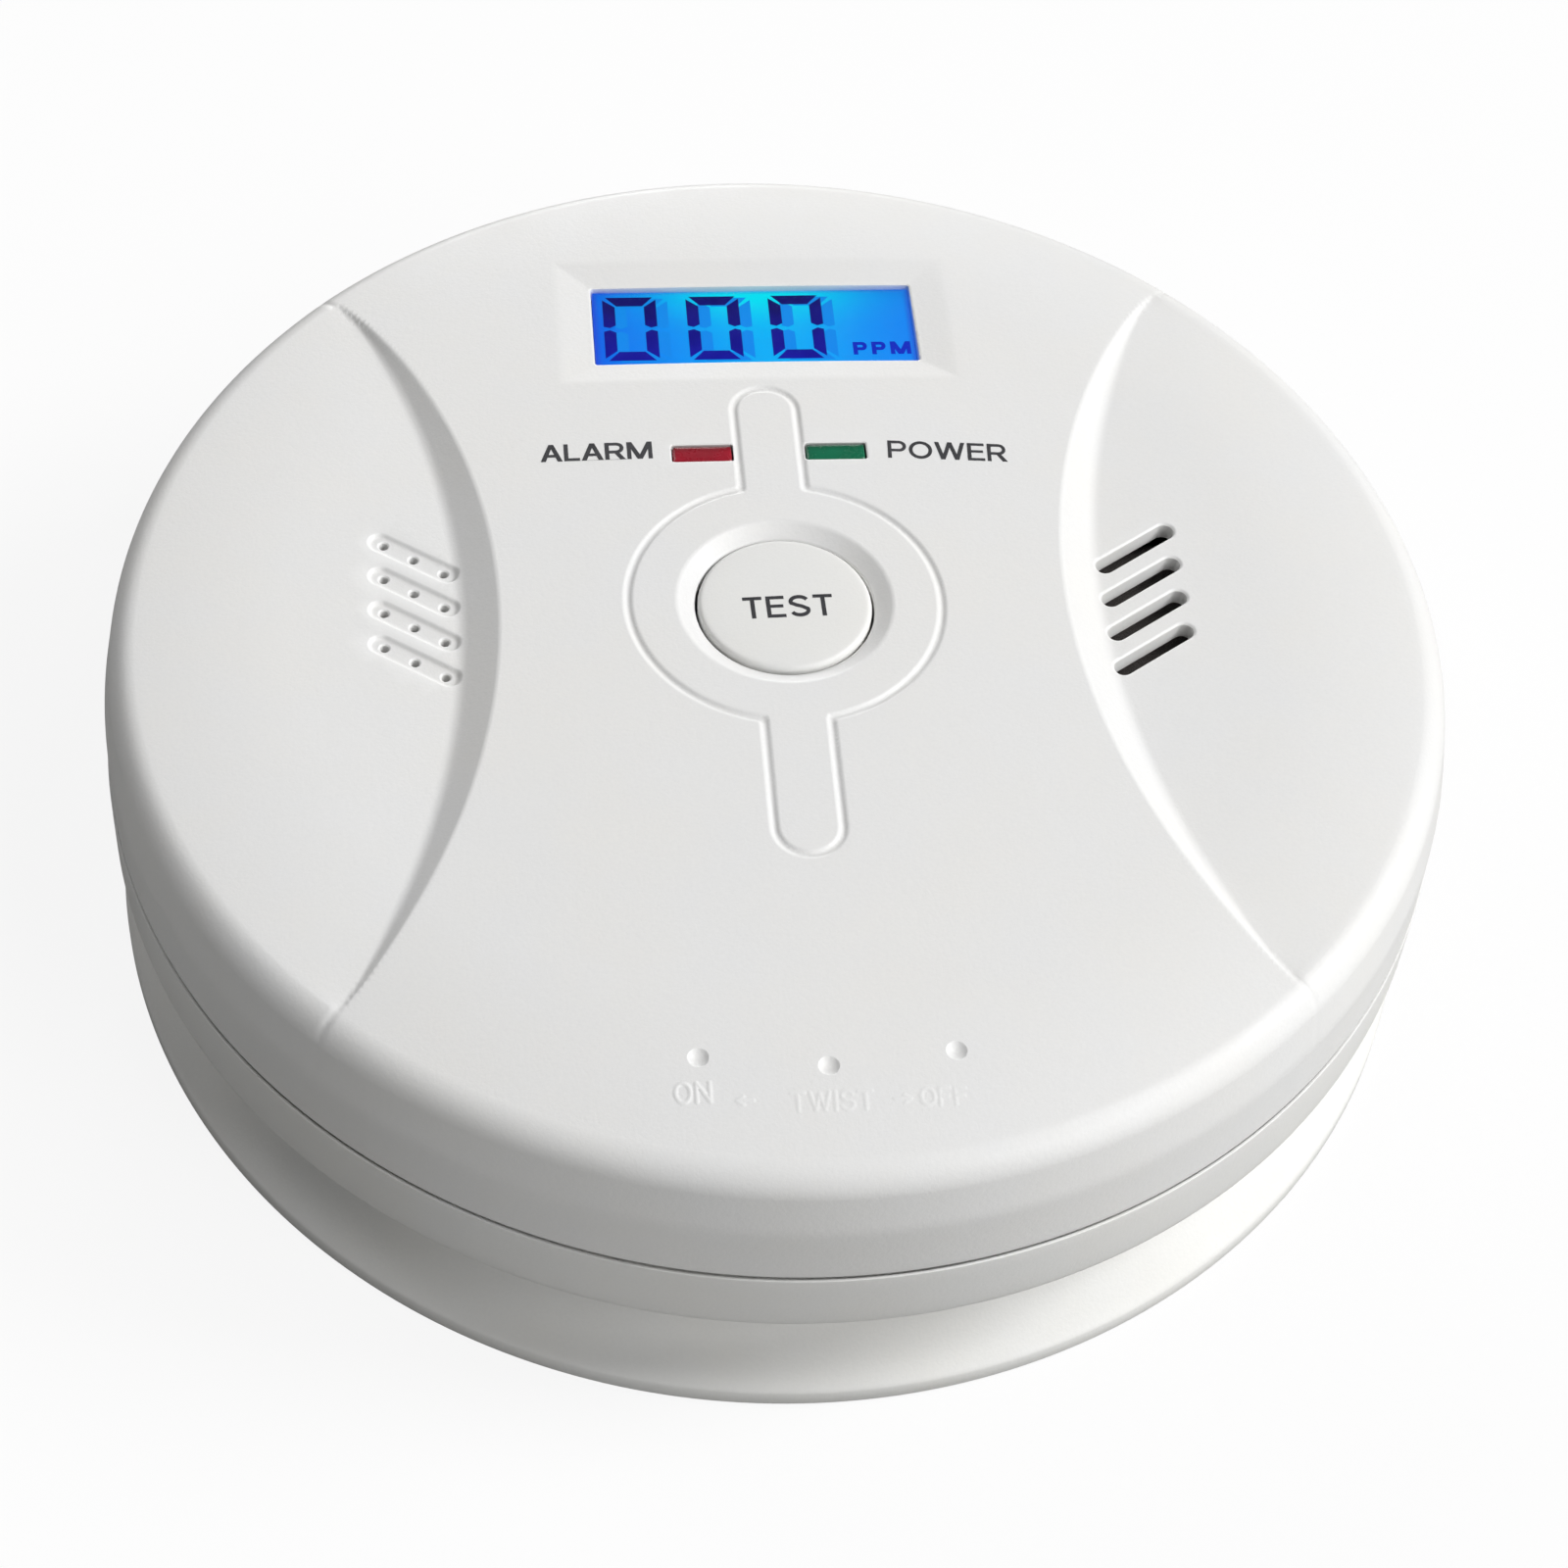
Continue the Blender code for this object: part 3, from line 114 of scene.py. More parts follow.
# ================================================================== material helpers
class Look:
    """Node tree of one material or world. Texture sizes and bump heights are in metres."""

    def __init__(self, owner):
        self.owner = owner
        owner.use_nodes = True
        self.nodes = owner.node_tree.nodes

    @cached_property
    def coords(self):
        return self.add("ShaderNodeTexCoord").outputs["Object"]

    def put(self, socket, value):
        """Links another socket to this one, or sets a number, vector or colour."""
        if isinstance(value, bpy.types.NodeSocket):
            self.owner.node_tree.links.new(value, socket)
        elif isinstance(value, tuple) and len(socket.default_value) == 4:
            socket.default_value = (*value, 1.0)
        else:
            socket.default_value = value

    def add(self, kind, sockets=(), **settings):
        node = self.nodes.new(kind)
        for key, value in settings.items():
            setattr(node, key, value)
        for key, value in dict(sockets).items():
            self.put(node.inputs[key], value)
        return node

    def principled(self, sockets):
        for key, value in sockets.items():
            self.put(self.nodes["Principled BSDF"].inputs[key], value)
        return self.owner

    def split(self):
        return self.add("ShaderNodeSeparateXYZ", {0: self.coords}).outputs

    def noise(self, size, detail=2.0, rough=0.5, stretch=None, distort=0.0):
        """Noise whose features are about size across."""
        sockets = {"Scale": 1.0 / size, "Detail": detail, "Roughness": rough,
                   "Distortion": distort, "Vector": self.coords}
        if stretch:
            mapping = self.add("ShaderNodeMapping", {"Scale": stretch, "Vector": self.coords})
            sockets["Vector"] = mapping.outputs[0]
        return self.add("ShaderNodeTexNoise", sockets).outputs["Fac"]

    def calc(self, operation, a, b, clamp=False):
        sockets = {0: a, 1: b}
        node = self.add("ShaderNodeMath", sockets, operation=operation, use_clamp=clamp)
        return node.outputs[0]

    def remap(self, value, to=(0.0, 1.0), at=(0.3, 0.7)):
        """Carries the range `at` over to the range `to`."""
        sockets = {"From Min": at[0], "From Max": at[1], "To Min": to[0], "To Max": to[1],
                   "Value": value}
        return self.add("ShaderNodeMapRange", sockets).outputs[0]

    def mix(self, factor, a, b):
        sockets = {0: factor, 6: a, 7: b}
        return self.add("ShaderNodeMix", sockets, data_type="RGBA").outputs[2]

    def mix_shaders(self, factor, a, b):
        return self.add("ShaderNodeMixShader", {0: factor, 1: a, 2: b}).outputs[0]

    def bump(self, height, distance, strength=1.0, normal=None):
        sockets = {"Strength": strength, "Distance": distance, "Height": height}
        if normal is not None:
            sockets["Normal"] = normal
        return self.add("ShaderNodeBump", sockets).outputs[0]

    def corner_mask(self, radius):
        """0 on flats, rising along edges: the true normal against one rounded over radius."""
        bevel = self.add("ShaderNodeBevel", {"Radius": radius}, samples=4)
        geometry = self.add("ShaderNodeNewGeometry")
        normals = {0: bevel.outputs[0], 1: geometry.outputs["Normal"]}
        dot = self.add("ShaderNodeVectorMath", normals, operation="DOT_PRODUCT")
        return self.remap(dot.outputs["Value"], to=(1.0, 0.0), at=(0.80, 0.99))


def new_look(name):
    return Look(bpy.data.materials.new(name))


def shade(colour, factor, lift=0.0):
    return tuple(min(c * factor + lift, 1.0) for c in colour)


def moulded(name, colour, rough, grain=0.00022, grain_height=0.000012):
    """Moulded plastic: fine grain, uneven sheen, polished and slightly lighter edges."""
    look = new_look(name)
    fine = look.noise(grain, detail=3.0, rough=0.55)
    pits = look.add("ShaderNodeTexVoronoi", {"Scale": 1.0 / (grain * 2.2), "Vector": look.coords},
                    feature="F1").outputs["Distance"]
    cloud = look.noise(0.011, detail=3.0, rough=0.6)
    handling = look.noise(0.004)
    edge = look.add("ShaderNodeAttribute", attribute_name="wear").outputs["Fac"]
    warm = (colour[0], colour[1] * 0.992, colour[2] * 0.975)
    base = look.mix(look.remap(cloud, at=(0.35, 0.65)), colour, warm)
    base = look.mix(look.remap(fine, to=(0.0, 0.35), at=(0.35, 0.7)), base,
                    shade(colour, 1.0 - 0.06))
    base = look.mix(look.calc("MULTIPLY", edge, 0.45), base, shade(colour, 1.05))
    roughness = look.calc("ADD", look.remap(cloud, to=(rough - 0.05, rough + 0.05)),
                          look.remap(handling, to=(-0.025, 0.025)))
    roughness = look.calc("SUBTRACT", roughness, look.calc("MULTIPLY", edge, 0.10))
    height = look.calc("ADD", fine, look.calc("MULTIPLY", pits, -0.45))
    grain_normal = look.bump(height, distance=grain_height)
    return look.principled({
        "Base Color": base,
        "Roughness": roughness,
        "IOR": 1.5,
        "Specular IOR Level": 0.38,
        "Normal": look.bump(look.noise(0.006), distance=0.00002, strength=0.6,
                            normal=grain_normal),
    })


def metal(name, colour, rough, brushed=(1, 1, 1), stain=0.12):
    """Brushed metal, clouded by stain and lighter along its corners."""
    look = new_look(name)
    streak = look.noise(0.0006, detail=4.0, rough=0.6, stretch=brushed)
    cloud = look.noise(0.0035, detail=3.0)
    base = look.mix(look.remap(cloud), colour, shade(colour, 1.0 - stain))
    edge = look.calc("MULTIPLY", look.corner_mask(0.0002), 0.5)
    return look.principled({
        "Base Color": look.mix(edge, base, shade(colour, 1.2)),
        "Metallic": 1.0,
        "Roughness": look.calc("ADD", look.remap(streak, to=(rough - 0.07, rough + 0.09)),
                               look.remap(cloud, to=(-0.04, 0.05))),
        "Normal": look.bump(streak, distance=0.000004),
    })


def hard(name, colour, rough, vary, coat=0.0, height=0.00001, second=None):
    """Small solid parts: mottled colour, grain, lighter worn corners."""
    look = new_look(name)
    grain = 0.0004
    fine = look.noise(grain, detail=3.0, rough=0.6)
    cloud = look.noise(grain * 9.0, detail=3.0, rough=0.55)
    base = look.mix(look.remap(cloud), colour, second or shade(colour, 1.0 - vary))
    base = look.mix(look.remap(fine, to=(0.0, 0.3)), base, shade(colour, 1.0 + vary, lift=0.004))
    edge = look.calc("MULTIPLY", look.corner_mask(0.00015), 0.35)
    return look.principled({
        "Base Color": look.mix(edge, base, shade(colour, 1.5, lift=0.03)),
        "Roughness": look.calc("ADD", look.remap(cloud, to=(rough - 0.06, rough + 0.06)),
                               look.remap(fine, to=(-0.03, 0.04))),
        "Coat Weight": coat,
        "Coat Roughness": 0.08,
        "Normal": look.bump(fine, distance=height),
    })


cover_plastic = moulded("abs_cover", (0.81, 0.81, 0.806), rough=0.46)
rear_plastic = moulded("abs_rear_case", (0.80, 0.80, 0.788), rough=0.48)
plate_plastic = moulded("abs_wall_plate", (0.79, 0.79, 0.775), rough=0.50)
button_plastic = moulded("abs_button", (0.815, 0.815, 0.80), rough=0.42, grain=0.00018,
                         grain_height=0.000008)


# ================================================================== outlines
def polar(radius, degrees):
    angle = math.radians(degrees)
    return radius * math.cos(angle), radius * math.sin(angle)


def arc(cx, cy, rx, ry, start, end, steps):
    angles = [math.radians(start + (end - start) * i / steps) for i in range(steps + 1)]
    return [(cx + rx * math.cos(a), cy + ry * math.sin(a)) for a in angles]


def circle(cx, cy, radius, count):
    angles = [2 * math.pi * i / count for i in range(count)]
    return [(cx + radius * math.cos(a), cy + radius * math.sin(a)) for a in angles]


def rectangle(x0, x1, y0, y1):
    return [(x0, y0), (x1, y0), (x1, y1), (x0, y1)]


def between(start, end, spacing):
    """Even points strictly between two points."""
    (x0, y0), (x1, y1) = start, end
    n = max(int(math.hypot(x1 - x0, y1 - y0) / spacing), 1)
    return [(x0 + (x1 - x0) * i / n, y0 + (y1 - y0) * i / n) for i in range(1, n)]


def subdivided(points, spacing):
    out = []
    for start, end in zip(points, points[1:]):
        out += [start, *between(start, end, spacing)]
    return out + [points[-1]]


def rounded_box(x0, x1, y0, y1, radius, spacing=0.35, steps=5):
    """Counter-clockwise outline of a box, with steps segments to each corner."""
    points = []
    for cx, cy, start in ((x1 - radius, y1 - radius, 0), (x0 + radius, y1 - radius, 90),
                          (x0 + radius, y0 + radius, 180), (x1 - radius, y0 + radius, 270)):
        corner = arc(cx, cy, radius, radius, start, start + 90, steps)
        if points:
            points += between(points[-1], corner[0], spacing)
        points += corner
    return points + between(points[-1], points[0], spacing)


def capsule(cx, cy, length, width, turn, spacing=0.2, steps=12):
    """Counter-clockwise outline of a slot with round ends, turned about its centre."""
    half, r, turn = (length - width) / 2, width / 2, math.radians(turn)
    n = max(int(half / spacing), 1)
    points = []
    for side, sign in enumerate((1, -1)):
        for i in range(steps + 1):
            a = -math.pi / 2 + math.pi * i / steps + math.pi * side
            points.append((sign * half + r * math.cos(a), r * math.sin(a)))
        points += [(sign * half - sign * 2 * half * i / n, sign * r) for i in range(1, n)]
    return [(cx + x * math.cos(turn) - y * math.sin(turn),
             cy + x * math.sin(turn) + y * math.cos(turn)) for x, y in points]


def offset_line(points, offset, closed=False):
    """The polyline moved to its left by offset, mitred at the corners."""
    points = [np.array(p, float) for p in points]
    count = len(points)
    moved = []
    for i, point in enumerate(points):
        normals = []
        for start, end in ((i - 1, i), (i, i + 1)):
            if closed or (start >= 0 and end < count):
                along = points[end % count] - points[start]
                normals.append(np.array([-along[1], along[0]]) / np.linalg.norm(along))
        mitre = sum(normals)
        mitre = mitre / np.linalg.norm(mitre)
        moved.append(tuple(point + mitre * (offset / float(np.dot(mitre, normals[0])))))
    return moved


def grid(x0, y0, columns, rows, pitch, row_ratio):
    """Rows of points, every other row shifted by half a pitch."""
    return [(x0 + (i + 0.5 * (j % 2)) * pitch, y0 + j * pitch * row_ratio)
            for j in range(rows) for i in range(columns)]


def pairs(items):
    """Each item of a closed loop with the one after it."""
    return list(zip(items, items[1:] + items[:1]))


# ================================================================== distances and soft steps
def ramp(s, a):
    """0 below -a, s above a, a parabola in between."""
    s = np.asarray(s, float)
    return np.where(s <= -a, 0.0, np.where(s >= a, s, (s + a) ** 2 / (4 * a)))


def soft_step(s, a0, a1):
    """Rises from 0 at s=0 to 1 at s=1, with soft corners of half width a0 and a1."""
    return ramp(s, a0) - ramp(s - 1.0, a1)


def soft_min(a, b, k):
    h = np.clip(0.5 + 0.5 * (b - a) / k, 0.0, 1.0)
    return b * (1 - h) + a * h - k * h * (1 - h)


def soft_max(a, b, k):
    return -soft_min(-a, -b, k)


def bell(distance, half):
    u = np.clip(np.abs(distance) / half, 0, 1)
    return (1 - u * u) ** 2


def capsule_distance(x, y, cx, cy, length, width, turn):
    t = math.radians(turn)
    u = (x - cx) * math.cos(t) + (y - cy) * math.sin(t)
    v = -(x - cx) * math.sin(t) + (y - cy) * math.cos(t)
    half = (length - width) / 2
    return np.hypot(np.maximum(np.abs(u) - half, 0.0), v) - width / 2


def box_distance(x, y, x0, x1, y0, y1, radius):
    dx = np.abs(x - (x0 + x1) / 2) - (x1 - x0) / 2 + radius
    dy = np.abs(y - (y0 + y1) / 2) - (y1 - y0) / 2 + radius
    outside = np.hypot(np.maximum(dx, 0), np.maximum(dy, 0))
    return outside + np.minimum(np.maximum(dx, dy), 0) - radius


def segment_distance(x, y, start, end):
    (ax, ay), (bx, by) = start, end
    dx, dy = bx - ax, by - ay
    t = np.clip(((x - ax) * dx + (y - ay) * dy) / max(dx * dx + dy * dy, 1e-9), 0, 1)
    return np.hypot(x - ax - t * dx, y - ay - t * dy)


# ================================================================== moulded words
# letter: (width, strokes), drawn in a box 1 high
LETTERS = {
    "O": (0.74, [arc(0.37, 0.5, 0.37, 0.5, 0, 360, 18)]),
    "N": (0.66, [[(0, 0), (0, 1), (0.66, 0), (0.66, 1)]]),
    "T": (0.66, [[(0, 1), (0.66, 1)], [(0.33, 1), (0.33, 0)]]),
    "W": (0.98, [[(0, 1), (0.25, 0), (0.49, 0.9), (0.73, 0), (0.98, 1)]]),
    "I": (0.0, [[(0, 0), (0, 1)]]),
    "S": (0.60, [arc(0.30, 0.75, 0.28, 0.25, 20, 270, 9)
                 + arc(0.30, 0.25, 0.30, 0.25, 90, -160, 9)]),
    "F": (0.56, [[(0.56, 1), (0, 1), (0, 0)], [(0, 0.53), (0.46, 0.53)]]),
    "<": (0.8, [[(0.8, 0.5), (0, 0.5)], [(0.3, 0.75), (0, 0.5), (0.3, 0.25)]]),
    ">": (0.8, [[(0, 0.5), (0.8, 0.5)], [(0.5, 0.75), (0.8, 0.5), (0.5, 0.25)]]),
}
LETTER_GAP = 0.30
# (word, centre x, centre y, height, width factor)
WORDS = (("ON", -9.4, -42.0, 1.4, 0.95), ("<", -6.0, -42.75, 1.1, 1.2),
         ("TWIST", -0.3, -43.0, 1.3, 1.0), (">", 4.4, -43.0, 1.1, 1.2),
         ("OFF", 7.1, -42.9, 1.2, 1.0))
RIDGE_HALF, RIDGE_HEIGHT = 0.22, 0.028


def word_strokes():
    """Straight pieces (start, end) of all the moulded words."""
    pieces = []
    for word, cx, cy, height, factor in WORDS:
        total = sum(LETTERS[c][0] for c in word) + LETTER_GAP * (len(word) - 1)
        at = -total / 2
        for c in word:
            width, strokes = LETTERS[c]
            for stroke in strokes:
                points = [(cx + (at + x) * height * factor, cy + (y - 0.5) * height)
                          for x, y in stroke]
                pieces += list(zip(points, points[1:]))
            at += width + LETTER_GAP
    return pieces


STROKES = word_strokes()


def words_height(x, y):
    near = (y < -39.5) & (np.abs(x) < 13)
    out = np.zeros_like(x)
    if near.any():
        near_x, near_y = x[near], y[near]
        distance = np.full(near_x.shape, 9.0)
        for start, end in STROKES:
            distance = np.minimum(distance, segment_distance(near_x, near_y, start, end))
        # the ridges are higher towards the left
        share = np.interp(near_x, (-9.0, -5.0, 9.0), (1.7, 0.9, 0.8))
        out[near] = RIDGE_HEIGHT * bell(distance, RIDGE_HALF) * share
    return out


# ================================================================== openings of the cover
def vent_rows(first_y):
    return [first_y + (1.5 - k) * VENT_PITCH for k in range(4)]


def pin_points():
    t = math.radians(-VENT_ANGLE)
    return [(-VENT_X + n * PIN_PITCH * math.cos(t), y + n * PIN_PITCH * math.sin(t))
            for y in vent_rows(VENT_Y_LEFT) for n in (-1, 0, 1)]


def dimple_points():
    return [polar(DIMPLE_AT_R, -90.4 + n * DIMPLE_STEP) for n in (-1, 0, 1)]


HOLES = []


def add_hole(distance, outline, depth, offsets):
    """distance(x, y) is negative inside; outline(grow) is the loop grown outwards.

    The edge sinks by depth over the width of the last offset; offsets place rings of points.
    """
    HOLES.append(SimpleNamespace(
        distance=distance, loop=outline(0.0), rings=[outline(o) for o in offsets],
        width=offsets[-1], depth=depth))


def add_round_hole(cx, cy, radius, count, depth, offsets):
    add_hole(lambda x, y: np.hypot(x - cx, y - cy) - radius,
             lambda grow: circle(cx, cy, radius + grow, count), depth, offsets)


def add_box_hole(x0, x1, y0, y1, radius, spacing, steps, depth, offsets):
    add_hole(lambda x, y: box_distance(x, y, x0, x1, y0, y1, radius),
             lambda grow: rounded_box(x0 - grow, x1 + grow, y0 - grow, y1 + grow,
                                      radius + grow, spacing, steps), depth, offsets)


def add_vent_slot(cy):
    add_hole(lambda x, y: capsule_distance(x, y, VENT_X, cy, VENT_LEN, SLOT_W, VENT_ANGLE),
             lambda grow: capsule(VENT_X, cy, VENT_LEN + 2 * grow, SLOT_W + 2 * grow, VENT_ANGLE),
             depth=0.12, offsets=(0.05, 0.11, 0.17, 0.24))


add_round_hole(0, 0, HOLE_R, count=144, depth=0.08, offsets=(0.035, 0.08, 0.14))
add_box_hole(-WIN_X, WIN_X, WIN_Y0, WIN_Y1, WIN_CORNER, spacing=0.35, steps=5, depth=0.08,
             offsets=(0.05, 0.11, 0.18))
for side in (-1, 1):
    add_box_hole(side * LAMP_X - LAMP_L / 2 + 0.02, side * LAMP_X + LAMP_L / 2 - 0.02,
                 LAMP_Y - LAMP_W / 2 + 0.06, LAMP_Y + LAMP_W / 2 - 0.06, 0.2, spacing=0.3,
                 steps=4, depth=0.07, offsets=(0.05, 0.10, 0.15))
for row_y in vent_rows(VENT_Y_RIGHT):
    add_vent_slot(row_y)
for pin_x, pin_y in pin_points():
    add_round_hole(pin_x, pin_y, PIN_R, count=20, depth=0.10, offsets=(0.05, 0.10, 0.16))


# ================================================================== front as a height field
def dome(r):
    roll = np.maximum(r - ROLL_R, 0.0) / ROLL_WIDTH
    return TOP_Z - DOME_DROP * (r / DOME_R) ** 2 - ROLL_DROP * roll ** 2


def arc_x(y, apex, radius):
    return apex + radius - np.sqrt(np.maximum(radius ** 2 - (y - STEP_Y0) ** 2, 1.0))


def side_drop(x, y):
    """Depth of the crescents left and right, fading towards their tips."""
    ax = np.abs(x)
    t2 = np.clip(((y - STEP_Y0) / STEP_TIP_Y) ** 2, 0.0, 0.9999)
    inner, outer = arc_x(y, STEP_IN_X, STEP_IN_R), arc_x(y, STEP_OUT_X, STEP_OUT_R)
    width = np.maximum(outer - inner, 0.42)
    outer = inner + width
    share = (ramp(ax - inner, np.minimum(0.20, width * 0.3))
             - ramp(ax - outer, np.minimum(0.45, width * 0.35))) / width
    rim_x = np.sqrt(np.maximum(RIM_FLAT_R ** 2 - y * y, 1.0))
    beyond = np.clip((ax - outer) / np.maximum(rim_x - outer, 0.5), 0.0, 1.0)
    return (STEP_DROP + (RIM_DROP - STEP_DROP) * beyond) * (1 - t2) ** 0.7 * share


def plain_front_z(x, y):
    return dome(np.hypot(x, y)) - side_drop(x, y)


def recess_depth(x, y):
    sx = (np.abs(x) - LEDGE_X) / (RECESS_X - LEDGE_X)
    sy = np.where(y > (WIN_Y0 + WIN_Y1) / 2, (y - LEDGE_Y1) / (RECESS_Y1 - LEDGE_Y1),
                  (LEDGE_Y0 - y) / (LEDGE_Y0 - RECESS_Y0))
    return RECESS_DEPTH * (1 - soft_step(soft_max(sx, sy, 0.10), 0.08, 0.13))


def key_distance(x, y):
    ring = np.hypot(x, y) - KEY_R
    arm = segment_distance(x, y, (0, KEY_LOW_Y + KEY_ARM), (0, KEY_TOP_Y - KEY_ARM)) - KEY_ARM
    return soft_min(ring, arm, 0.25)


def front_z(x, y):
    """Height of the cover's front with all its details."""
    r = np.hypot(x, y)
    z = plain_front_z(x, y) - recess_depth(x, y)
    dish = 1 - soft_step((r - HOLE_R) / (DISH_R - HOLE_R), 0.05, 0.14)
    z = z - DISH_DEPTH * dish * (r < DISH_R + 0.4)
    z = z - KEY_DEPTH * bell(key_distance(x, y), KEY_HALF)
    for cy in vent_rows(VENT_Y_LEFT):
        distance = capsule_distance(x, y, -VENT_X, cy, VENT_LEN, GROOVE_W, -VENT_ANGLE)
        z = z - GROOVE_DEPTH * soft_step(-distance / 0.30 + 0.5, 0.30, 0.38)
    for cx, cy in dimple_points():
        u = np.hypot(x - cx, y - cy) / DIMPLE_R
        z = z - DIMPLE_DEPTH * ramp(1 - u * u, 0.10)
    z = z + words_height(x, y)
    for hole in HOLES:
        z = z - hole.depth * np.clip(1 - hole.distance(x, y) / hole.width, 0, 1.0) ** 2
    return z


def front_normals(x, y, e=0.004):
    gx = (front_z(x + e, y) - front_z(x - e, y)) / (2 * e)
    gy = (front_z(x, y + e) - front_z(x, y - e)) / (2 * e)
    n = np.stack([-gx, -gy, np.ones_like(gx)], 1)
    return n / np.linalg.norm(n, axis=1)[:, None]


def front_wear(x, y, e=0.08):
    """Convexity of the front, for the worn edges."""
    around = front_z(x + e, y) + front_z(x - e, y) + front_z(x, y + e) + front_z(x, y - e)
    return np.clip(-(around - 4 * front_z(x, y)) / (e * e) * 0.35, 0, 1)


def inside_z(x, y):
    thick = 1.6 - 0.2 * np.clip((np.abs(x) - 19.0) / 3.0, 0, 1)
    return plain_front_z(x, y) - thick


# ================================================================== points of the front
def key_outline(grow, spacing=0.35):
    r, arm = KEY_R + grow, KEY_ARM + grow
    join = math.asin(arm / r)
    join_y = r * math.cos(join)
    top, low = KEY_TOP_Y - KEY_ARM, KEY_LOW_Y + KEY_ARM

    def bend(cy, radius, start, end):
        count = max(int(math.pi * radius / spacing), 8)
        return [(radius * math.cos(a), cy + radius * math.sin(a))
                for a in np.linspace(start, end, count)]

    def side(x, y0, y1):
        return [(x, y) for y in np.linspace(y0, y1, int(abs(y1 - y0) / spacing))[1:-1]]

    return (bend(0, r, -math.pi / 2 + join, math.pi / 2 - join)
            + side(arm, join_y, top) + bend(top, arm, 0, math.pi) + side(-arm, top, join_y)
            + bend(0, r, math.pi / 2 + join, 3 * math.pi / 2 - join)
            + side(-arm, -join_y, low) + bend(low, arm, math.pi, 2 * math.pi)
            + side(arm, low, -join_y))


def step_point(side, y, share, offset=0.0):
    """A point at height y, share of the way from the inner to the outer arc of a crescent."""
    inner = float(arc_x(y, STEP_IN_X, STEP_IN_R))
    outer = float(arc_x(y, STEP_OUT_X, STEP_OUT_R))
    return side * (inner * (1 - share) + outer * share + offset), y


# lines along the crescents: (least gap between points, share, offset)
STEP_LINES = (
    *((0.05, 0.0, offset) for offset in (-0.5, -0.2, -0.1, 0.0, 0.1, 0.2, 0.45)),
    *((0.12, share, 0.0) for share in (0.3, 0.45, 0.6, 0.75)),
    *((0.10, 1.0, offset) for offset in (-0.85, -0.55, -0.3, 0.0, 0.3, 0.55, 0.85, 1.3)),
)
KEY_OFFSETS = (0.0, 0.08, -0.08, 0.16, -0.16, 0.25, -0.25, 0.36, -0.36, 0.49, -0.49)
RECESS_SHARES = (-0.1, -0.04, 0.03, 0.09, 0.2, 0.4, 0.6, 0.8, 0.87, 0.93, 1.0, 1.07, 1.13, 1.22)
DISH_SHARES = (0.10, 0.2, 0.35, 0.5, 0.65, 0.8, 0.86, 0.92, 1.0, 1.07, 1.14, 1.3)
DIMPLE_RINGS = ((1.12, 40), (1.05, 40), (1.0, 40), (0.95, 40), (0.88, 36), (0.78, 32),
                (0.64, 28), (0.48, 20), (0.3, 14), (0.14, 8))     # (share of radius, points)
GROOVE_OFFSETS = (0.22, 0.15, 0.09, 0.03, -0.03, -0.09, -0.15, -0.22, -0.4)


def front_groups():
    """(least gap, points), in order of importance; the closed loops with no gap come first."""
    for hole in HOLES:
        yield 0.0, hole.loop
    yield 0.0, circle(0, 0, RIM_FLAT_R, RIM_COUNT)
    for hole in HOLES:
        for ring in hole.rings:
            yield 0.018, ring
    for offset in KEY_OFFSETS:
        yield 0.045, key_outline(offset)
    for side in (-1, 1):
        for gap, share, offset in STEP_LINES:
            yield gap, [step_point(side, y, share, offset)
                        for y in np.arange(-34.4, 34.41, 0.45)]
    for share in RECESS_SHARES:
        x = LEDGE_X + (RECESS_X - LEDGE_X) * share
        y0 = LEDGE_Y0 + (RECESS_Y0 - LEDGE_Y0) * share
        y1 = LEDGE_Y1 + (RECESS_Y1 - LEDGE_Y1) * share
        box = rectangle(-x, x, y0, y1)
        yield 0.05, subdivided(box + box[:1], 0.45)
    for side in (1, -1):
        for y_in, y_out in ((LEDGE_Y1, RECESS_Y1), (LEDGE_Y0, RECESS_Y0)):
            for offset in (-0.16, 0.0, 0.16):
                ends = [(side * LEDGE_X + offset, y_in), (side * RECESS_X + offset, y_out)]
                yield 0.05, subdivided(ends, 0.3)
    for share in DISH_SHARES:
        yield 0.03, circle(0, 0, HOLE_R + (DISH_R - HOLE_R) * share, 144)
    for cx, cy in dimple_points():
        for share, count in DIMPLE_RINGS:
            yield 0.03, circle(cx, cy, share * DIMPLE_R, count)
        yield 0.02, [(cx, cy)]
    for cy in vent_rows(VENT_Y_LEFT):
        for grow in GROOVE_OFFSETS:
            yield 0.035, capsule(-VENT_X, cy, VENT_LEN + 2 * grow, GROOVE_W + 2 * grow,
                                 -VENT_ANGLE, spacing=0.15, steps=16)
    # fine even mesh under the moulded words
    pitch = 0.12
    yield 0.05, grid(-11.2, -44.2, int(20.6 / pitch), int(3.8 / (pitch * 0.866)), pitch, 0.866)
    # evenly spaced rings inside the rim, so no slivers appear there
    yield 0.22, circle(0, 0, RIM_FLAT_R - 0.5, 420)
    yield 0.4, circle(0, 0, RIM_FLAT_R - 1.2, 260)
    # coarse fill everywhere else
    pitch = 1.25
    yield 0.55, grid(-RIM_FLAT_R, -RIM_FLAT_R, int(2 * RIM_FLAT_R / pitch) + 2,
                     int(2 * RIM_FLAT_R / (pitch * 0.866)) + 2, pitch, 0.866)


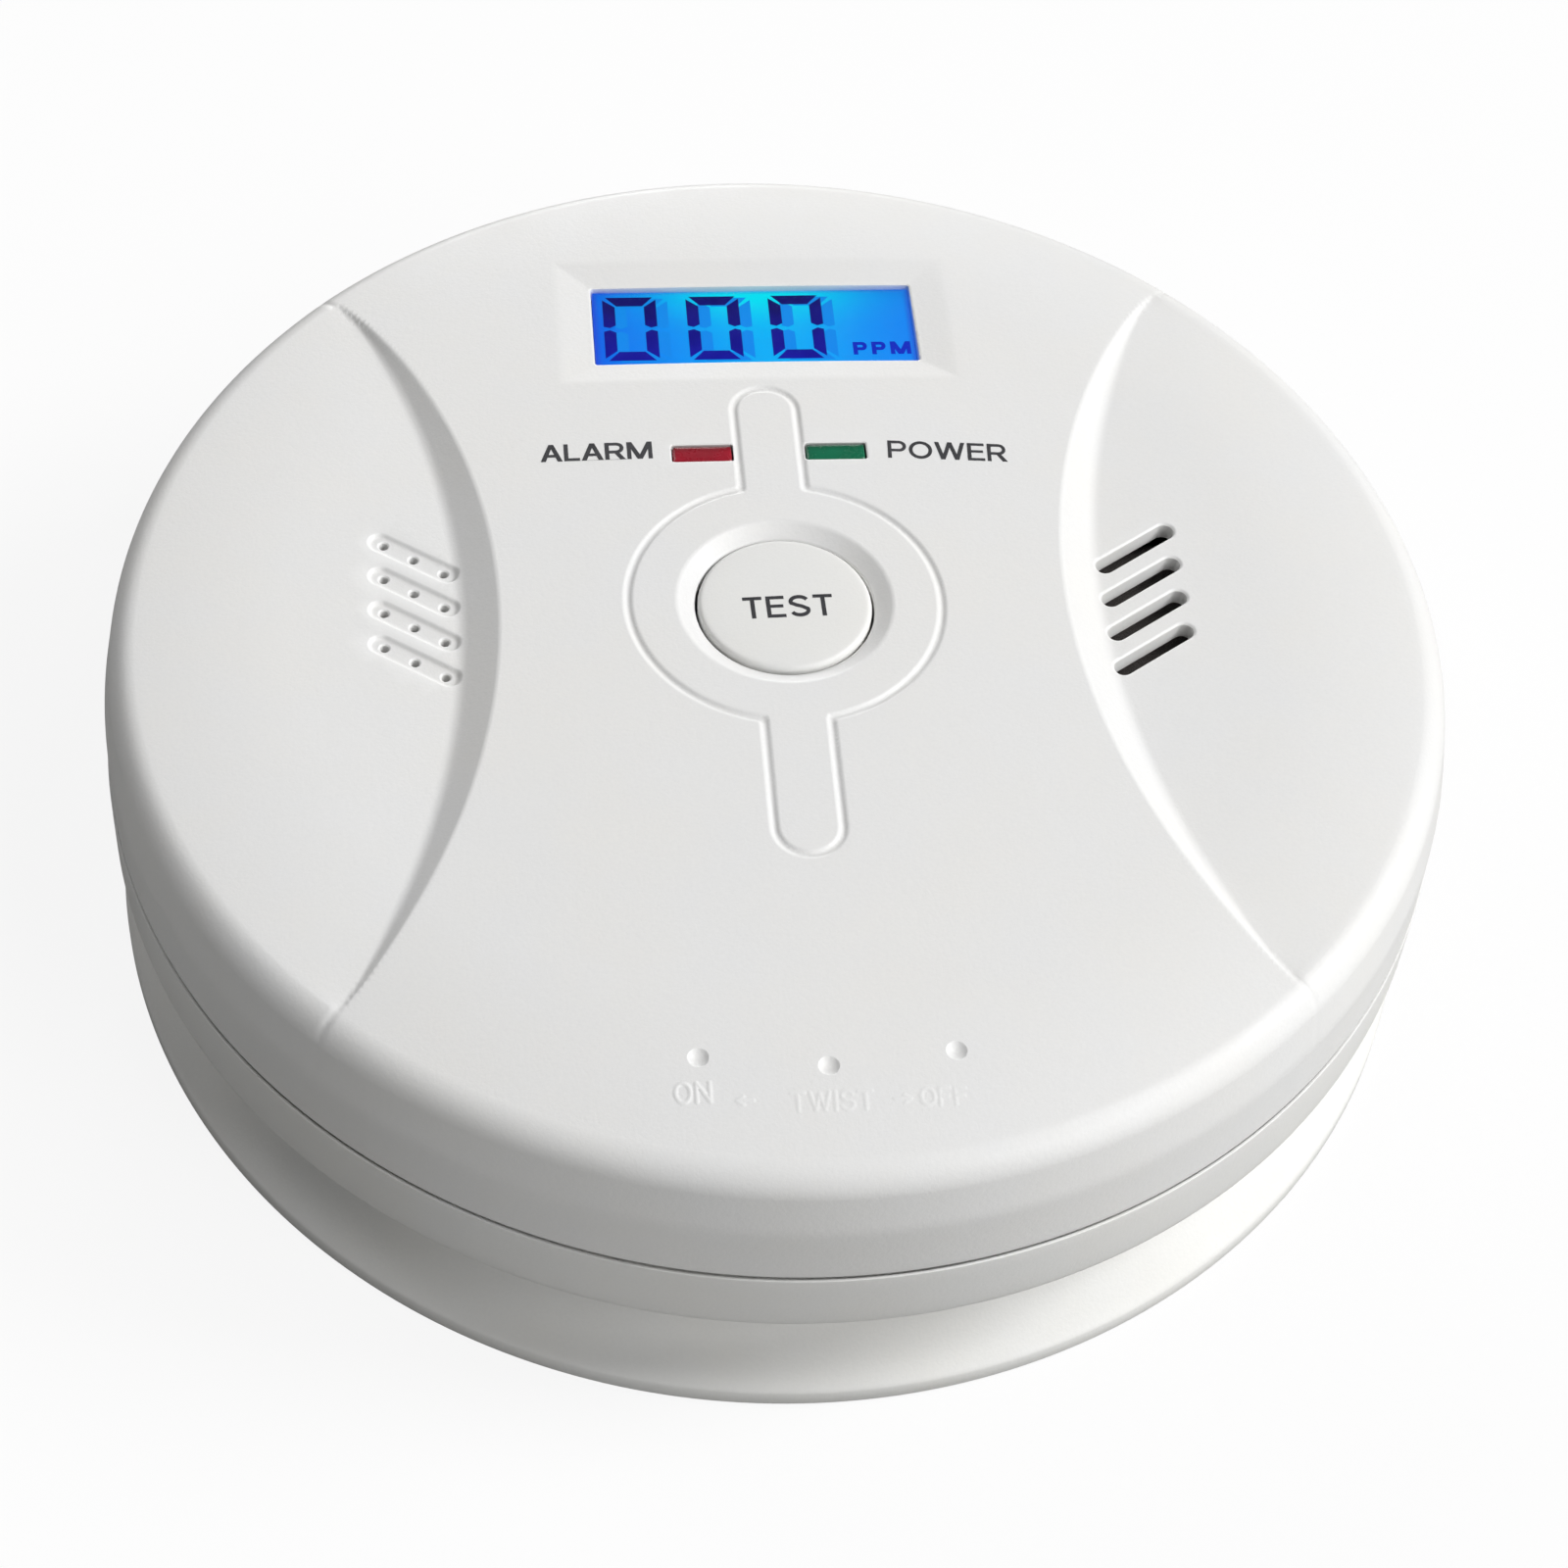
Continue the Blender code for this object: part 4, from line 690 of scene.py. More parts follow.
def thinned(groups):
    """Leaves out points outside the front and points that crowd earlier ones."""
    kept, cells = [], {}
    cell_size = 0.6         # no smaller than the widest gap

    def crowded(x, y, gap, column, row):
        return any((other_x - x) ** 2 + (other_y - y) ** 2 < gap * gap
                   for i in (column - 1, column, column + 1)
                   for j in (row - 1, row, row + 1)
                   for other_x, other_y in cells.get((i, j), ()))

    for gap, points in groups:
        points = np.array(points, float)
        if gap > 0:
            xs, ys = points[:, 0], points[:, 1]
            inside = np.hypot(xs, ys) < RIM_FLAT_R - min(0.12, 0.05 + gap)
            for hole in HOLES:
                inside &= hole.distance(xs, ys) > 0.012
            points = points[inside]
        for x, y in points:
            column, row = int(math.floor(x / cell_size)), int(math.floor(y / cell_size))
            if not crowded(x, y, gap, column, row):
                kept.append((x, y))
                cells.setdefault((column, row), []).append((x, y))
    return kept


def triangulate(points):
    """(points, triangles, loops). The given points start with the holes' loops and a rim.

    Those loops are kept as edges; triangles inside a hole are left out.
    """
    edges, starts, at = [], [], 0
    for size in [len(hole.loop) for hole in HOLES] + [RIM_COUNT]:
        ids = list(range(at, at + size))
        starts.append(ids)
        edges += pairs(ids)
        at += size
    co, _, faces, sources, _, _ = delaunay_2d_cdt(
        [Vector(p) for p in points], edges, [], 0, 1e-6, True)
    made_from = {}
    for i, group in enumerate(sources):
        for source in group:
            made_from.setdefault(source, i)
    loops = [[made_from[i] for i in ids] for ids in starts]
    co = np.array([(v.x, v.y) for v in co])
    faces = np.array([f for f in faces if len(f) == 3])
    middle = co[faces].mean(1)
    solid_part = np.ones(len(faces), bool)
    for hole in HOLES:
        solid_part &= hole.distance(middle[:, 0], middle[:, 1]) > -1e-4
    faces = faces[solid_part]
    a, b, c = co[faces[:, 0]], co[faces[:, 1]], co[faces[:, 2]]
    cross = (b[:, 0] - a[:, 0]) * (c[:, 1] - a[:, 1]) - (b[:, 1] - a[:, 1]) * (c[:, 0] - a[:, 0])
    clockwise = cross < 0
    faces[clockwise] = faces[clockwise][:, ::-1]
    return co, faces, loops


# ================================================================== mesh helpers
REPLACED = set()        # frame nodes that get a new object


def register(obj, group, node=None):
    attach(obj, group)
    if node:
        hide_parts(node)
        REPLACED.add(node)


def link_object(name, mesh, material=None):
    obj = bpy.data.objects.new(name, mesh)
    collection.objects.link(obj)
    if material:
        mesh.materials.append(material)
    return obj


def smooth(mesh, angle):
    mesh.shade_smooth()
    mesh.set_sharp_from_angle(angle=math.radians(angle))


def set_wear(mesh, values):
    attribute = mesh.attributes.new("wear", "FLOAT", "POINT")
    attribute.data.foreach_set("value", np.asarray(values, np.float32))


def mesh_from_lists(name, points, faces, smooth_angle):
    mesh = bpy.data.meshes.new(name)
    mesh.from_pydata((np.asarray(points) * MM).tolist(), [], [list(map(int, f)) for f in faces])
    mesh.validate(clean_customdata=False)
    smooth(mesh, smooth_angle)
    return mesh


class Shell:
    """Collects points and faces; faces marked curved take the normals given for their points."""

    def __init__(self):
        self.points, self.normals, self.wear = [], [], []
        self.faces, self.curved = [], []
        self.count = 0

    def add_points(self, points, normals=None, wear=0.0):
        size = len(points)
        self.points.append(points)
        self.normals.append(np.zeros((size, 3)) if normals is None else normals)
        self.wear.append(np.full(size, wear))
        self.count += size
        return list(range(self.count - size, self.count))

    def add_faces(self, faces, curved=False):
        self.faces += faces
        self.curved += [curved] * len(faces)

    def add_band(self, first, second, curved=False):
        self.add_faces([(a, b, b_next, a_next) for (a, a_next), (b, b_next)
                        in zip(pairs(first), pairs(second))], curved)

    def build(self, name, material, smooth_angle):
        mesh = mesh_from_lists(name, np.concatenate(self.points), self.faces, smooth_angle)
        set_wear(mesh, np.concatenate(self.wear))
        vertex = np.zeros(len(mesh.loops), int)
        mesh.loops.foreach_get("vertex_index", vertex)
        totals = np.zeros(len(mesh.polygons), int)
        mesh.polygons.foreach_get("loop_total", totals)
        use = np.repeat(np.asarray(self.curved, bool), totals)
        corner_normals = np.zeros((len(mesh.loops), 3))
        corner_normals[use] = np.concatenate(self.normals)[vertex[use]]
        mesh.normals_split_custom_set(corner_normals.tolist())
        return link_object(name, mesh, material)


# ================================================================== front cover
def rim_edge():
    """(radius, z, tilt in radians): small radius, steep chamfer, soft run-out into the wall."""
    slope = 2 * DOME_DROP * RIM_FLAT_R / DOME_R ** 2 + 2 * ROLL_DROP / ROLL_WIDTH
    t0, t1 = math.atan(slope), math.radians(RIM_TILT)
    rows = []
    for i in range(1, 13):
        t = t0 + (t1 - t0) * i / 12
        rows.append((RIM_FLAT_R + RIM_FILLET * (math.sin(t) - math.sin(t0)),
                     float(dome(RIM_FLAT_R)) - RIM_FILLET * (math.cos(t0) - math.cos(t)), t))
    r, z_top, _ = rows[-1]
    z_low = z_top - (RIM_LOW_R - r) * math.tan(t1)
    rows.append(((r + RIM_LOW_R) / 2, (z_top + z_low) / 2, t1))
    for i in range(7):
        t = t1 + (math.pi / 2 - 0.02 - t1) * i / 6
        rows.append((RIM_LOW_R + RIM_LOW_FILLET * (math.sin(t) - math.sin(t1)),
                     z_low - RIM_LOW_FILLET * (math.cos(t1) - math.cos(t)), t))
    return rows


EDGE = rim_edge()
WALL_SHARES = (0.2, 0.45, 0.7, 0.9)
# outward and upward parts of the direction down each outer row; None is taken from neighbours
DOWN = ([(math.cos(t), -math.sin(t)) for _, _, t in EDGE] + [None] * len(WALL_SHARES)
        + [(-math.sin(t), -math.cos(t)) for t in map(math.radians, (6, 30, 60, 84))])


def side_rows(angle):
    """Points of every row from the rim down the wall, round the seam edge and up inside."""
    drop = side_drop(RIM_FLAT_R * np.cos(angle), RIM_FLAT_R * np.sin(angle))
    rows = [(r, z - drop) for r, z, _ in EDGE]
    wall_r, wall_z, _ = EDGE[-1]
    round_z = COVER_LOW_Z + SEAM_ROUND
    for share in WALL_SHARES:
        rows.append((wall_r + (COVER_LOW_R - wall_r) * share,
                     wall_z - drop + (round_z - wall_z + drop) * share))
    rows.append((COVER_LOW_R, round_z))
    for degrees in (30, 60, 90):
        dr, dz = polar(SEAM_ROUND, degrees)
        rows.append((COVER_LOW_R - SEAM_ROUND + dr, round_z - dz))
    step_r = CASE_R - CASE_WALL / 2
    rows += [
        (step_r, COVER_LOW_Z), (step_r, SEAM_Z + 1.7), (CASE_R - 2.2, SEAM_Z + 1.7),
        (CASE_R - 2.3, 23.0 - drop), (46.7, 24.8 - drop), (45.5, 25.6 - drop),
        (INSIDE_R, inside_z(INSIDE_R * np.cos(angle), INSIDE_R * np.sin(angle))),
    ]
    return [np.column_stack([r * np.cos(angle), r * np.sin(angle),
                             np.broadcast_to(z, angle.shape)]) for r, z in rows]


def add_front(shell):
    plan, triangles, loops = triangulate(thinned(front_groups()))
    x, y = plan[:, 0], plan[:, 1]
    shell.add_points(np.column_stack([plan, front_z(x, y)]), front_normals(x, y),
                     front_wear(x, y))
    shell.add_faces([tuple(f) for f in triangles], curved=True)
    return loops


def add_side(shell, rim):
    """Rows of RIM_COUNT points below the rim; returns the last, inside the cover."""
    angle = 2 * np.pi * np.arange(RIM_COUNT) / RIM_COUNT
    cos, sin = np.cos(angle), np.sin(angle)
    rows, ahead, behind = (side_rows(angle + turn) for turn in (0.0, 1e-4, -1e-4))
    for k, row in enumerate(rows):
        outer = k < len(DOWN)
        on_edge = k < len(EDGE)
        normals, wear = None, 0.0
        if outer:
            if DOWN[k]:
                out, rise = DOWN[k]
                down = np.column_stack([out * cos, out * sin, np.full(RIM_COUNT, rise)])
            else:
                down = rows[k + 1] - rows[k - 1]
            normals = np.cross(down, ahead[k] - behind[k])
            normals /= np.linalg.norm(normals, axis=1)[:, None]
            outward = normals[:, 0] * cos + normals[:, 1] * sin
            outward = outward + normals[:, 2] * (0.2 if on_edge else 0)
            normals[outward < 0] *= -1
            if on_edge:
                wear = 0.25
            elif DOWN[k]:
                wear = 0.8
        ids = shell.add_points(row, normals, wear)
        shell.add_band(rim, ids, curved=outer)
        rim = ids
    return rim


def add_inside(shell, rim):
    """The inside face, with the same openings as the front."""
    fill = [p for p in grid(-44, -44, 40, 40, 2.3, 1.0) if math.hypot(*p) < 43.0]
    for side in (-1, 1):
        for y in np.arange(-32, 32.1, 0.9):
            points = [step_point(side, float(y), share) for share in (0.0, 1.0)]
            fill += [p for p in points if math.hypot(*p) < 43.4]
    fill = np.array(fill)
    clear = np.ones(len(fill), bool)
    for hole in HOLES:
        clear &= hole.distance(fill[:, 0], fill[:, 1]) > 0.35
    points = [p for hole in HOLES for p in hole.loop]
    points += circle(0, 0, INSIDE_R, RIM_COUNT) + [tuple(p) for p in fill[clear]]
    plan, triangles, loops = triangulate(points)
    index = dict(zip(loops[-1], rim))
    free = [i for i in range(len(plan)) if i not in index]
    inner = plan[free]
    heights = inside_z(inner[:, 0], inner[:, 1])
    index.update(zip(free, shell.add_points(np.column_stack([inner, heights]))))
    shell.add_faces([(index[a], index[c], index[b]) for a, b, c in triangles])
    return [[index[i] for i in loop] for loop in loops]


def add_post(shell, cx, cy, outer_r, low_z, top_z, bore_z, bore_r=1.5, count=28):
    """Screw post hanging from the cover, bored from below."""
    profile = ((outer_r, top_z), (outer_r, low_z + 0.15), (outer_r - 0.15, low_z),
               (bore_r + 0.1, low_z), (bore_r, low_z + 0.1), (bore_r, bore_z))
    points = [(x, y, z) for r, z in profile for x, y in circle(cx, cy, r, count)]
    ids = shell.add_points(np.array(points + [(cx, cy, top_z), (cx, cy, bore_z)]))
    rings = [ids[k * count:(k + 1) * count] for k in range(len(profile))]
    for upper, lower in zip(rings, rings[1:]):
        shell.add_band(upper, lower)
    cap, bore = ids[-2:]
    for (a, a_next), (b, b_next) in zip(pairs(rings[0]), pairs(rings[-1])):
        shell.add_faces([(cap, a, a_next), (bore, b_next, b)])


SCREW_PLACES = [polar(SCREW_AT_R, degrees) for degrees in SCREW_ANGLES]


def build_cover():
    shell = Shell()
    top_loops = add_front(shell)
    low_loops = add_inside(shell, add_side(shell, top_loops[-1]))
    for top, low in zip(top_loops[:-1], low_loops):
        shell.add_faces([(c, c_next, a_next, a) for (a, a_next), (c, c_next)
                         in zip(pairs(top), pairs(low))])
    for x, y in SCREW_PLACES:
        add_post(shell, x, y, outer_r=2.9, low_z=19.5, top_z=26.0, bore_z=24.4)
    for x, y in BOARD_SCREWS:
        add_post(shell, x, y, outer_r=2.7, low_z=21.8, top_z=27.2, bore_z=25.6)
    cover = shell.build("front_cover_shell", cover_plastic, smooth_angle=38.0)
    register(cover, "detector", "front_cover")


build_cover()


# ================================================================== turned and moulded solids
def rounded(profile, steps=4):
    """Rounds the corners of a closed (r, z, radius) loop."""
    out = []
    for i, (*place, radius) in enumerate(profile):
        p = np.array(place, float)
        if radius <= 0:
            out.append(tuple(p))
            continue
        u = np.array(profile[i - 1][:2], float) - p
        v = np.array(profile[(i + 1) % len(profile)][:2], float) - p
        length_u, length_v = np.linalg.norm(u), np.linalg.norm(v)
        u, v = u / length_u, v / length_v
        half = math.acos(float(np.dot(u, v))) / 2
        cut = min(radius / math.tan(half), length_u * 0.45, length_v * 0.45)
        start, end = p + u * cut, p + v * cut
        for k in range(steps + 1):
            t = k / steps
            out.append(tuple((1 - t) ** 2 * start + 2 * t * (1 - t) * p + t * t * end))
    return out


def turned(name, profile, count, material, smooth_angle=32.0):
    """Spins a closed (r, z) loop; points at r = 0 become poles."""
    rings, points = [], []
    for r, z in profile:
        start = len(points)
        if r < 1e-6:
            rings.append([start] * count)
            points.append((0, 0, z))
        else:
            rings.append(list(range(start, start + count)))
            points += [(x, y, z) for x, y in circle(0, 0, r, count)]
    faces = []
    for first, second in pairs(rings):
        for (a, a_next), (b, b_next) in zip(pairs(first), pairs(second)):
            corners = list(dict.fromkeys((a, b, b_next, a_next)))
            if len(corners) > 2:
                faces.append(corners)
    mesh = mesh_from_lists(name, points, faces, smooth_angle)
    bm = bmesh.new()
    bm.from_mesh(mesh)
    bmesh.ops.recalc_face_normals(bm, faces=bm.faces)
    bm.to_mesh(mesh)
    bm.free()
    smooth(mesh, smooth_angle)
    return link_object(name, mesh, material)


def object_from_bmesh(name, bm, material=None):
    bmesh.ops.recalc_face_normals(bm, faces=bm.faces)
    mesh = bpy.data.meshes.new(name)
    bm.to_mesh(mesh)
    bm.free()
    mesh.transform(Matrix.Scale(MM, 4))
    return link_object(name, mesh, material)


def solid(name, lofts, material=None):
    """Closed pieces; each loft is a list of sections (outline, z), lowest first."""
    bm = bmesh.new()
    for loft in lofts:
        rings = [[bm.verts.new((x, y, z)) for x, y in outline] for outline, z in loft]
        bm.faces.new(rings[0][::-1])
        bm.faces.new(rings[-1])
        for lower, upper in zip(rings, rings[1:]):
            for (a, a_next), (b, b_next) in zip(pairs(lower), pairs(upper)):
                bm.faces.new((a, a_next, b_next, b))
    return object_from_bmesh(name, bm, material)


def prism(outline, z0, z1):
    return [(outline, z0), (outline, z1)]


def sector(r0, r1, start, end, z0, z1, steps=8):
    outer = arc(0, 0, r1, r1, start, end, steps)
    return prism(outer + arc(0, 0, r0, r0, start, end, steps)[::-1], z0, z1)


def carve(target, steps, smooth_angle=32.0):
    """Applies exact Booleans one after another: (operation, tool)."""
    for operation, tool in steps:
        modifier = target.modifiers.new("cut", "BOOLEAN")
        modifier.operation = operation
        modifier.object = tool
        modifier.solver = "EXACT"
    depsgraph = bpy.context.evaluated_depsgraph_get()
    depsgraph.update()
    mesh = bpy.data.meshes.new_from_object(target.evaluated_get(depsgraph))
    target.modifiers.clear()
    old = target.data
    target.data = mesh
    bpy.data.meshes.remove(old)
    for _, tool in steps:
        bpy.data.objects.remove(tool, do_unlink=True)
    smooth(mesh, smooth_angle)


def wear_from_edges(obj, gain=1.0):
    """Marks points on convex edges, so the material can polish them."""
    bm = bmesh.new()
    bm.from_mesh(obj.data)
    values = np.zeros(len(bm.verts), np.float32)
    for edge in bm.edges:
        if len(edge.link_faces) == 2:
            angle = edge.calc_face_angle_signed(0.0)
            if angle > 0.12:
                for v in edge.verts:
                    values[v.index] = max(values[v.index], min(angle * gain, 1.0))
    bm.free()
    set_wear(obj.data, values)


# ------------------------------------------------------------------ rear case
def build_rear_case():
    tongue_r = CASE_R - CASE_WALL / 2 - 0.3
    inner_r = CASE_R - CASE_WALL - 0.1
    drum_in_r = DRUM_R - DRUM_T
    rear = turned("rear_case_shell", rounded([      # (r, z, corner radius)
        (49.95, REAR_TOP_Z, 0.10), (49.96, 15.2, 0), (49.96, 13.2, 0), (49.96, 10.5, 1.4),
        (47.6, 10.5, 0.3), (47.3, REAR_Z, 0.2), (40.0, REAR_Z, 0.2),
        (DRUM_R, REAR_Z - 0.4, 0.2), (DRUM_R, DRUM_Z + 0.4, 0.2), (DRUM_R - 0.4, DRUM_Z, 0.2),
        (0, DRUM_Z, 0), (0, DRUM_Z + DRUM_T, 0),
        (drum_in_r, DRUM_Z + DRUM_T, 0.4), (drum_in_r, REAR_Z + 2.0, 0.4),
        (inner_r, REAR_Z + 2.0, 0.5), (inner_r, SEAM_Z + 1.4, 0.2),
        (tongue_r, SEAM_Z + 1.4, 0.2), (tongue_r, SEAM_Z - 0.8, 0),
        (49.74, SEAM_Z - 0.8, 0), (49.74, REAR_TOP_Z, 0.03),
    ]), 288, rear_plastic)

    box_x, box_y = BAY_X + BAY_T, BAY_Y + BAY_T
    added = [prism(rectangle(-box_x, box_x, -box_y, box_y), DRUM_Z + 0.8, BAY_ROOF + BAY_T)]
    added += [prism(circle(x, y, 3.1, 32), 11.6, 19.2) for x, y in SCREW_PLACES]
    added += [sector(DRUM_R - 0.8, LUG_R, middle - LUG_HALF, middle + LUG_HALF, LUG_Z0, LUG_Z1)
              for middle in HOOK_ANGLES]

    cuts = [prism(rounded_box(-BAY_X, BAY_X, -BAY_Y, BAY_Y, 1.2, 8.0, 5), 1, BAY_ROOF)]
    for x, y in SCREW_PLACES:
        cuts += [prism(circle(x, y, 1.55, 24), 13.0, 20.5),      # screw bore
                 prism(circle(x, y, 2.9, 32), 10.2, 13.7)]       # sunk screw head
    # slots through the bay roof in two opposite corners
    cuts += [prism(rounded_box(*box, 0.2, 9, 3), 16.5, 20)
             for box in ((-16.6, -12.6, 27.7, 28.95), (12.6, 16.6, -28.95, -27.7))]
    carve(rear, [("UNION", solid("rear_add", added)), ("DIFFERENCE", solid("rear_cut", cuts))])
    wear_from_edges(rear)
    register(rear, "detector", "rear_case")


build_rear_case()

# ------------------------------------------------------------------ wall plate
# outside of the plate, flaring from its rim up to the neck: (r, z)
PLATE_FLARE = [
    (PLATE_R, 1.5), (49.92, 1.66), (49.75, 1.82), (49.45, 2.0), (49.1, 2.17), (48.7, 2.33),
    (48.2, 2.55), (47.6, 2.85), (47.1, 3.15), (46.6, 3.58), (46.15, 4.1), (45.75, 4.75),
    (45.4, 5.5), (45.1, 6.4), (44.85, 7.4), (44.65, 8.5), (44.52, 9.6), (NECK_R, 10.4),
]
WALL_SLOTS = ((-30.0, 0.09, 90.0), (30.0, 0.09, 0.0))       # (x, y, turn)


def build_wall_plate():
    neck_in_r = NECK_R - NECK_T
    plate = turned("wall_plate_shell", [
        (0, 0.0), (49.7, 0.0), (49.9, 0.08), (PLATE_R, 0.3), *PLATE_FLARE,
        (NECK_R - 0.2, NECK_TOP), (neck_in_r + 0.2, NECK_TOP), (neck_in_r, NECK_TOP - 0.2),
        (neck_in_r, PLATE_T + 0.6), (neck_in_r - 0.18, PLATE_T + 0.18),
        (neck_in_r - 0.6, PLATE_T), (0, PLATE_T),
    ], 288, plate_plastic)

    def slot(place, grow=0.0):
        x, y, turn = place
        return capsule(x, y, 10.0 + grow, 4.2 + grow, turn, spacing=1.0, steps=14)

    hooks = [sector(HOOK_R, neck_in_r + 0.6, middle - HOOK_HALF - 3.6, middle + HOOK_HALF,
                    HOOK_Z0, HOOK_Z1) for middle in HOOK_ANGLES]
    ribs = [sector(HOOK_R + 0.35, neck_in_r + 0.85, middle - HOOK_HALF - 3.2,
                   middle - HOOK_HALF - 1.2, PLATE_T - 0.8, HOOK_Z0 + 0.6, 3)
            for middle in HOOK_ANGLES]
    sinks = [[(slot(place, 0.4), PLATE_T - 1.1), (slot(place, 3.4), PLATE_T + 0.3)]
             for place in WALL_SLOTS]
    slots = [prism(slot(place), -1, 3) for place in WALL_SLOTS]
    # a narrow relief round each slot on the wall side, and the ejector marks
    marks = [[(slot(place, 1.2), -0.5), (slot(place, 0.6), 0.3)] for place in WALL_SLOTS]
    marks += [prism(circle(*polar(38.0, 30 + 60 * k), 2.5, 32), -0.5, 0.14) for k in range(6)]
    marks += [prism(circle(*polar(16.0, 90 + 120 * k), 2.0, 32), -0.5, 0.14) for k in range(3)]
    marks.append(prism(circle(0, 8.0, 1.1, 24), -0.5, 0.25))
    carve(plate, [
        ("UNION", solid("plate_add", hooks)), ("UNION", solid("plate_ribs", ribs)),
        ("DIFFERENCE", solid("plate_sink", sinks)), ("DIFFERENCE", solid("plate_cut", slots)),
        ("DIFFERENCE", solid("plate_marks", marks)),
    ])
    wear_from_edges(plate)
    register(plate, "plate", "wall_plate")


build_wall_plate()


# ------------------------------------------------------------------ test button
def build_button():
    profile = [(r, BUTTON_TOP + rise) for r, rise in BUTTON_CROWN]
    edge_r = 0.45
    for degrees in (80, 68, 55, 42, 30, 18, 6):
        dr, dz = polar(edge_r, degrees)
        profile.append((BUTTON_R - edge_r + dr, BUTTON_TOP - 0.44 + dz))
    # side, flange under the cover, flat underside and short stem
    profile += [
        (BUTTON_R, 28.0), (BUTTON_R, 26.0), (BUTTON_R + 0.12, 25.8), (BUTTON_R + 0.35, 25.7),
        (7.55, 25.7), (7.7, 25.55), (7.7, 25.1), (7.55, 24.95),
        (1.75, 24.95), (1.6, 24.85), (1.6, 24.75), (1.5, 24.65), (0, 24.65),
    ]
    button = turned("test_button_cap", profile, 160, button_plastic)
    wear_from_edges(button, gain=1.4)
    register(button, "button", "test_button")


build_button()


# ================================================================== printed lettering
def stroke_quads(points, width, closed=False):
    """A polyline as a row of four-sided pieces, mitred at the corners."""
    left = pairs(offset_line(points, width / 2, closed))
    right = pairs(offset_line(points, -width / 2, closed))
    quads = [[r, r_next, l_next, l] for (r, r_next), (l, l_next) in zip(right, left)]
    return quads if closed else quads[:-1]


def glyph(letter, weight, blocky):
    """(width, polygons) of a plain extended capital, 1 high; polygons run counter-clockwise."""
    half = weight / 2
    stem = rectangle(0, weight * 1.05, 0, 1)
    if letter == "A":
        width, foot = 0.92, weight * 1.22
        near, far = foot * 0.42, foot * 0.48
        mid = width / 2
        return width, [[(0, 0), (foot, 0), (mid + near, 1), (mid - far, 1)],
                       [(width - foot, 0), (width, 0), (mid + far, 1), (mid - near, 1)],
                       rectangle(0.21, width - 0.21, 0.25, 0.25 + weight * 0.9)]
    if letter == "L":
        return 0.66, [stem, rectangle(0, 0.66, 0, weight * 0.95)]
    if letter in "PR":
        width = 0.80 if letter == "P" else 0.86
        r = 0.5 * (1 - half - 0.45)
        bowl = arc(0.80 - half - r, 0.45 + r, r * 0.7 if blocky else r, r, 90, -90, 10)
        shapes = [stem]
        shapes += stroke_quads([(half, 1 - half)] + bowl + [(half, 0.45)], weight * 0.95)
        if letter == "R":
            shapes.append([(width - weight * 1.35, 0), (width, 0),
                           (0.34 + weight * 1.3, 0.47), (0.34, 0.47)])
        return width, shapes
    if letter == "M":
        width, foot = 1.06, weight * 1.28
        low = [(width / 2 - foot * 0.5, 0), (width / 2 + foot * 0.5, 0)]
        return width, [rectangle(0, weight * 1.02, 0, 1),
                       rectangle(width - weight * 1.02, width, 0, 1),
                       [(0, 1), *low, (foot * 0.95, 1)],
                       [(width - foot * 0.95, 1), *low, (width, 1)]]
    if letter == "O":
        ring = arc(0.5, 0.5, 0.5 - half, 0.5 - half * 0.95, 0, 360, 36)[:-1]
        return 1.0, stroke_quads(ring, weight, closed=True)
    if letter == "W":
        width, foot = 1.30, weight * 1.14
        left = [(width * 0.27 - foot / 2, 0), (width * 0.27 + foot / 2, 0)]
        right = [(width * 0.73 - foot / 2, 0), (width * 0.73 + foot / 2, 0)]
        peak_left, peak_right = (width / 2 - foot / 2, 1), (width / 2 + foot / 2, 1)
        return width, [[(0, 1), *left, (foot, 1)], [*left, peak_right, peak_left],
                       [peak_left, *right, peak_right], [*right, (width, 1), (width - foot, 1)]]
    if letter == "E":
        return 0.74, [stem, rectangle(0, 0.72, 1 - weight * 0.92, 1),
                      rectangle(0, 0.67, 0.46, 0.46 + weight * 0.88),
                      rectangle(0, 0.74, 0, weight * 0.92)]
    if letter == "T":
        return 0.76, [rectangle(0, 0.76, 1 - weight * 0.95, 1),
                      rectangle(0.38 - weight * 0.54, 0.38 + weight * 0.54, 0, 1)]
    if letter == "S":
        width = 0.82
        rx, ry = width / 2 - half, 0.25 - half * 0.42
        top, low = 1 - half * 0.95 - ry, half * 0.95 + ry
        waist = [(width * 0.22, 0.605), (width * 0.36, 0.545), (width * 0.5, 0.508),
                 (width * 0.66, 0.46), (width * 0.79, 0.395)]
        path = arc(width / 2, top, rx, ry, 22, 200, 12) + waist
        return width, stroke_quads(path + arc(width / 2, low, rx, ry, 18, -158, 12), weight)
    raise ValueError(letter)


def inside_any(point, outlines):
    return any(all((b.x - a.x) * (point.y - a.y) - (b.y - a.y) * (point.x - a.x) > 0
                   for a, b in pairs(outline)) for outline in outlines)


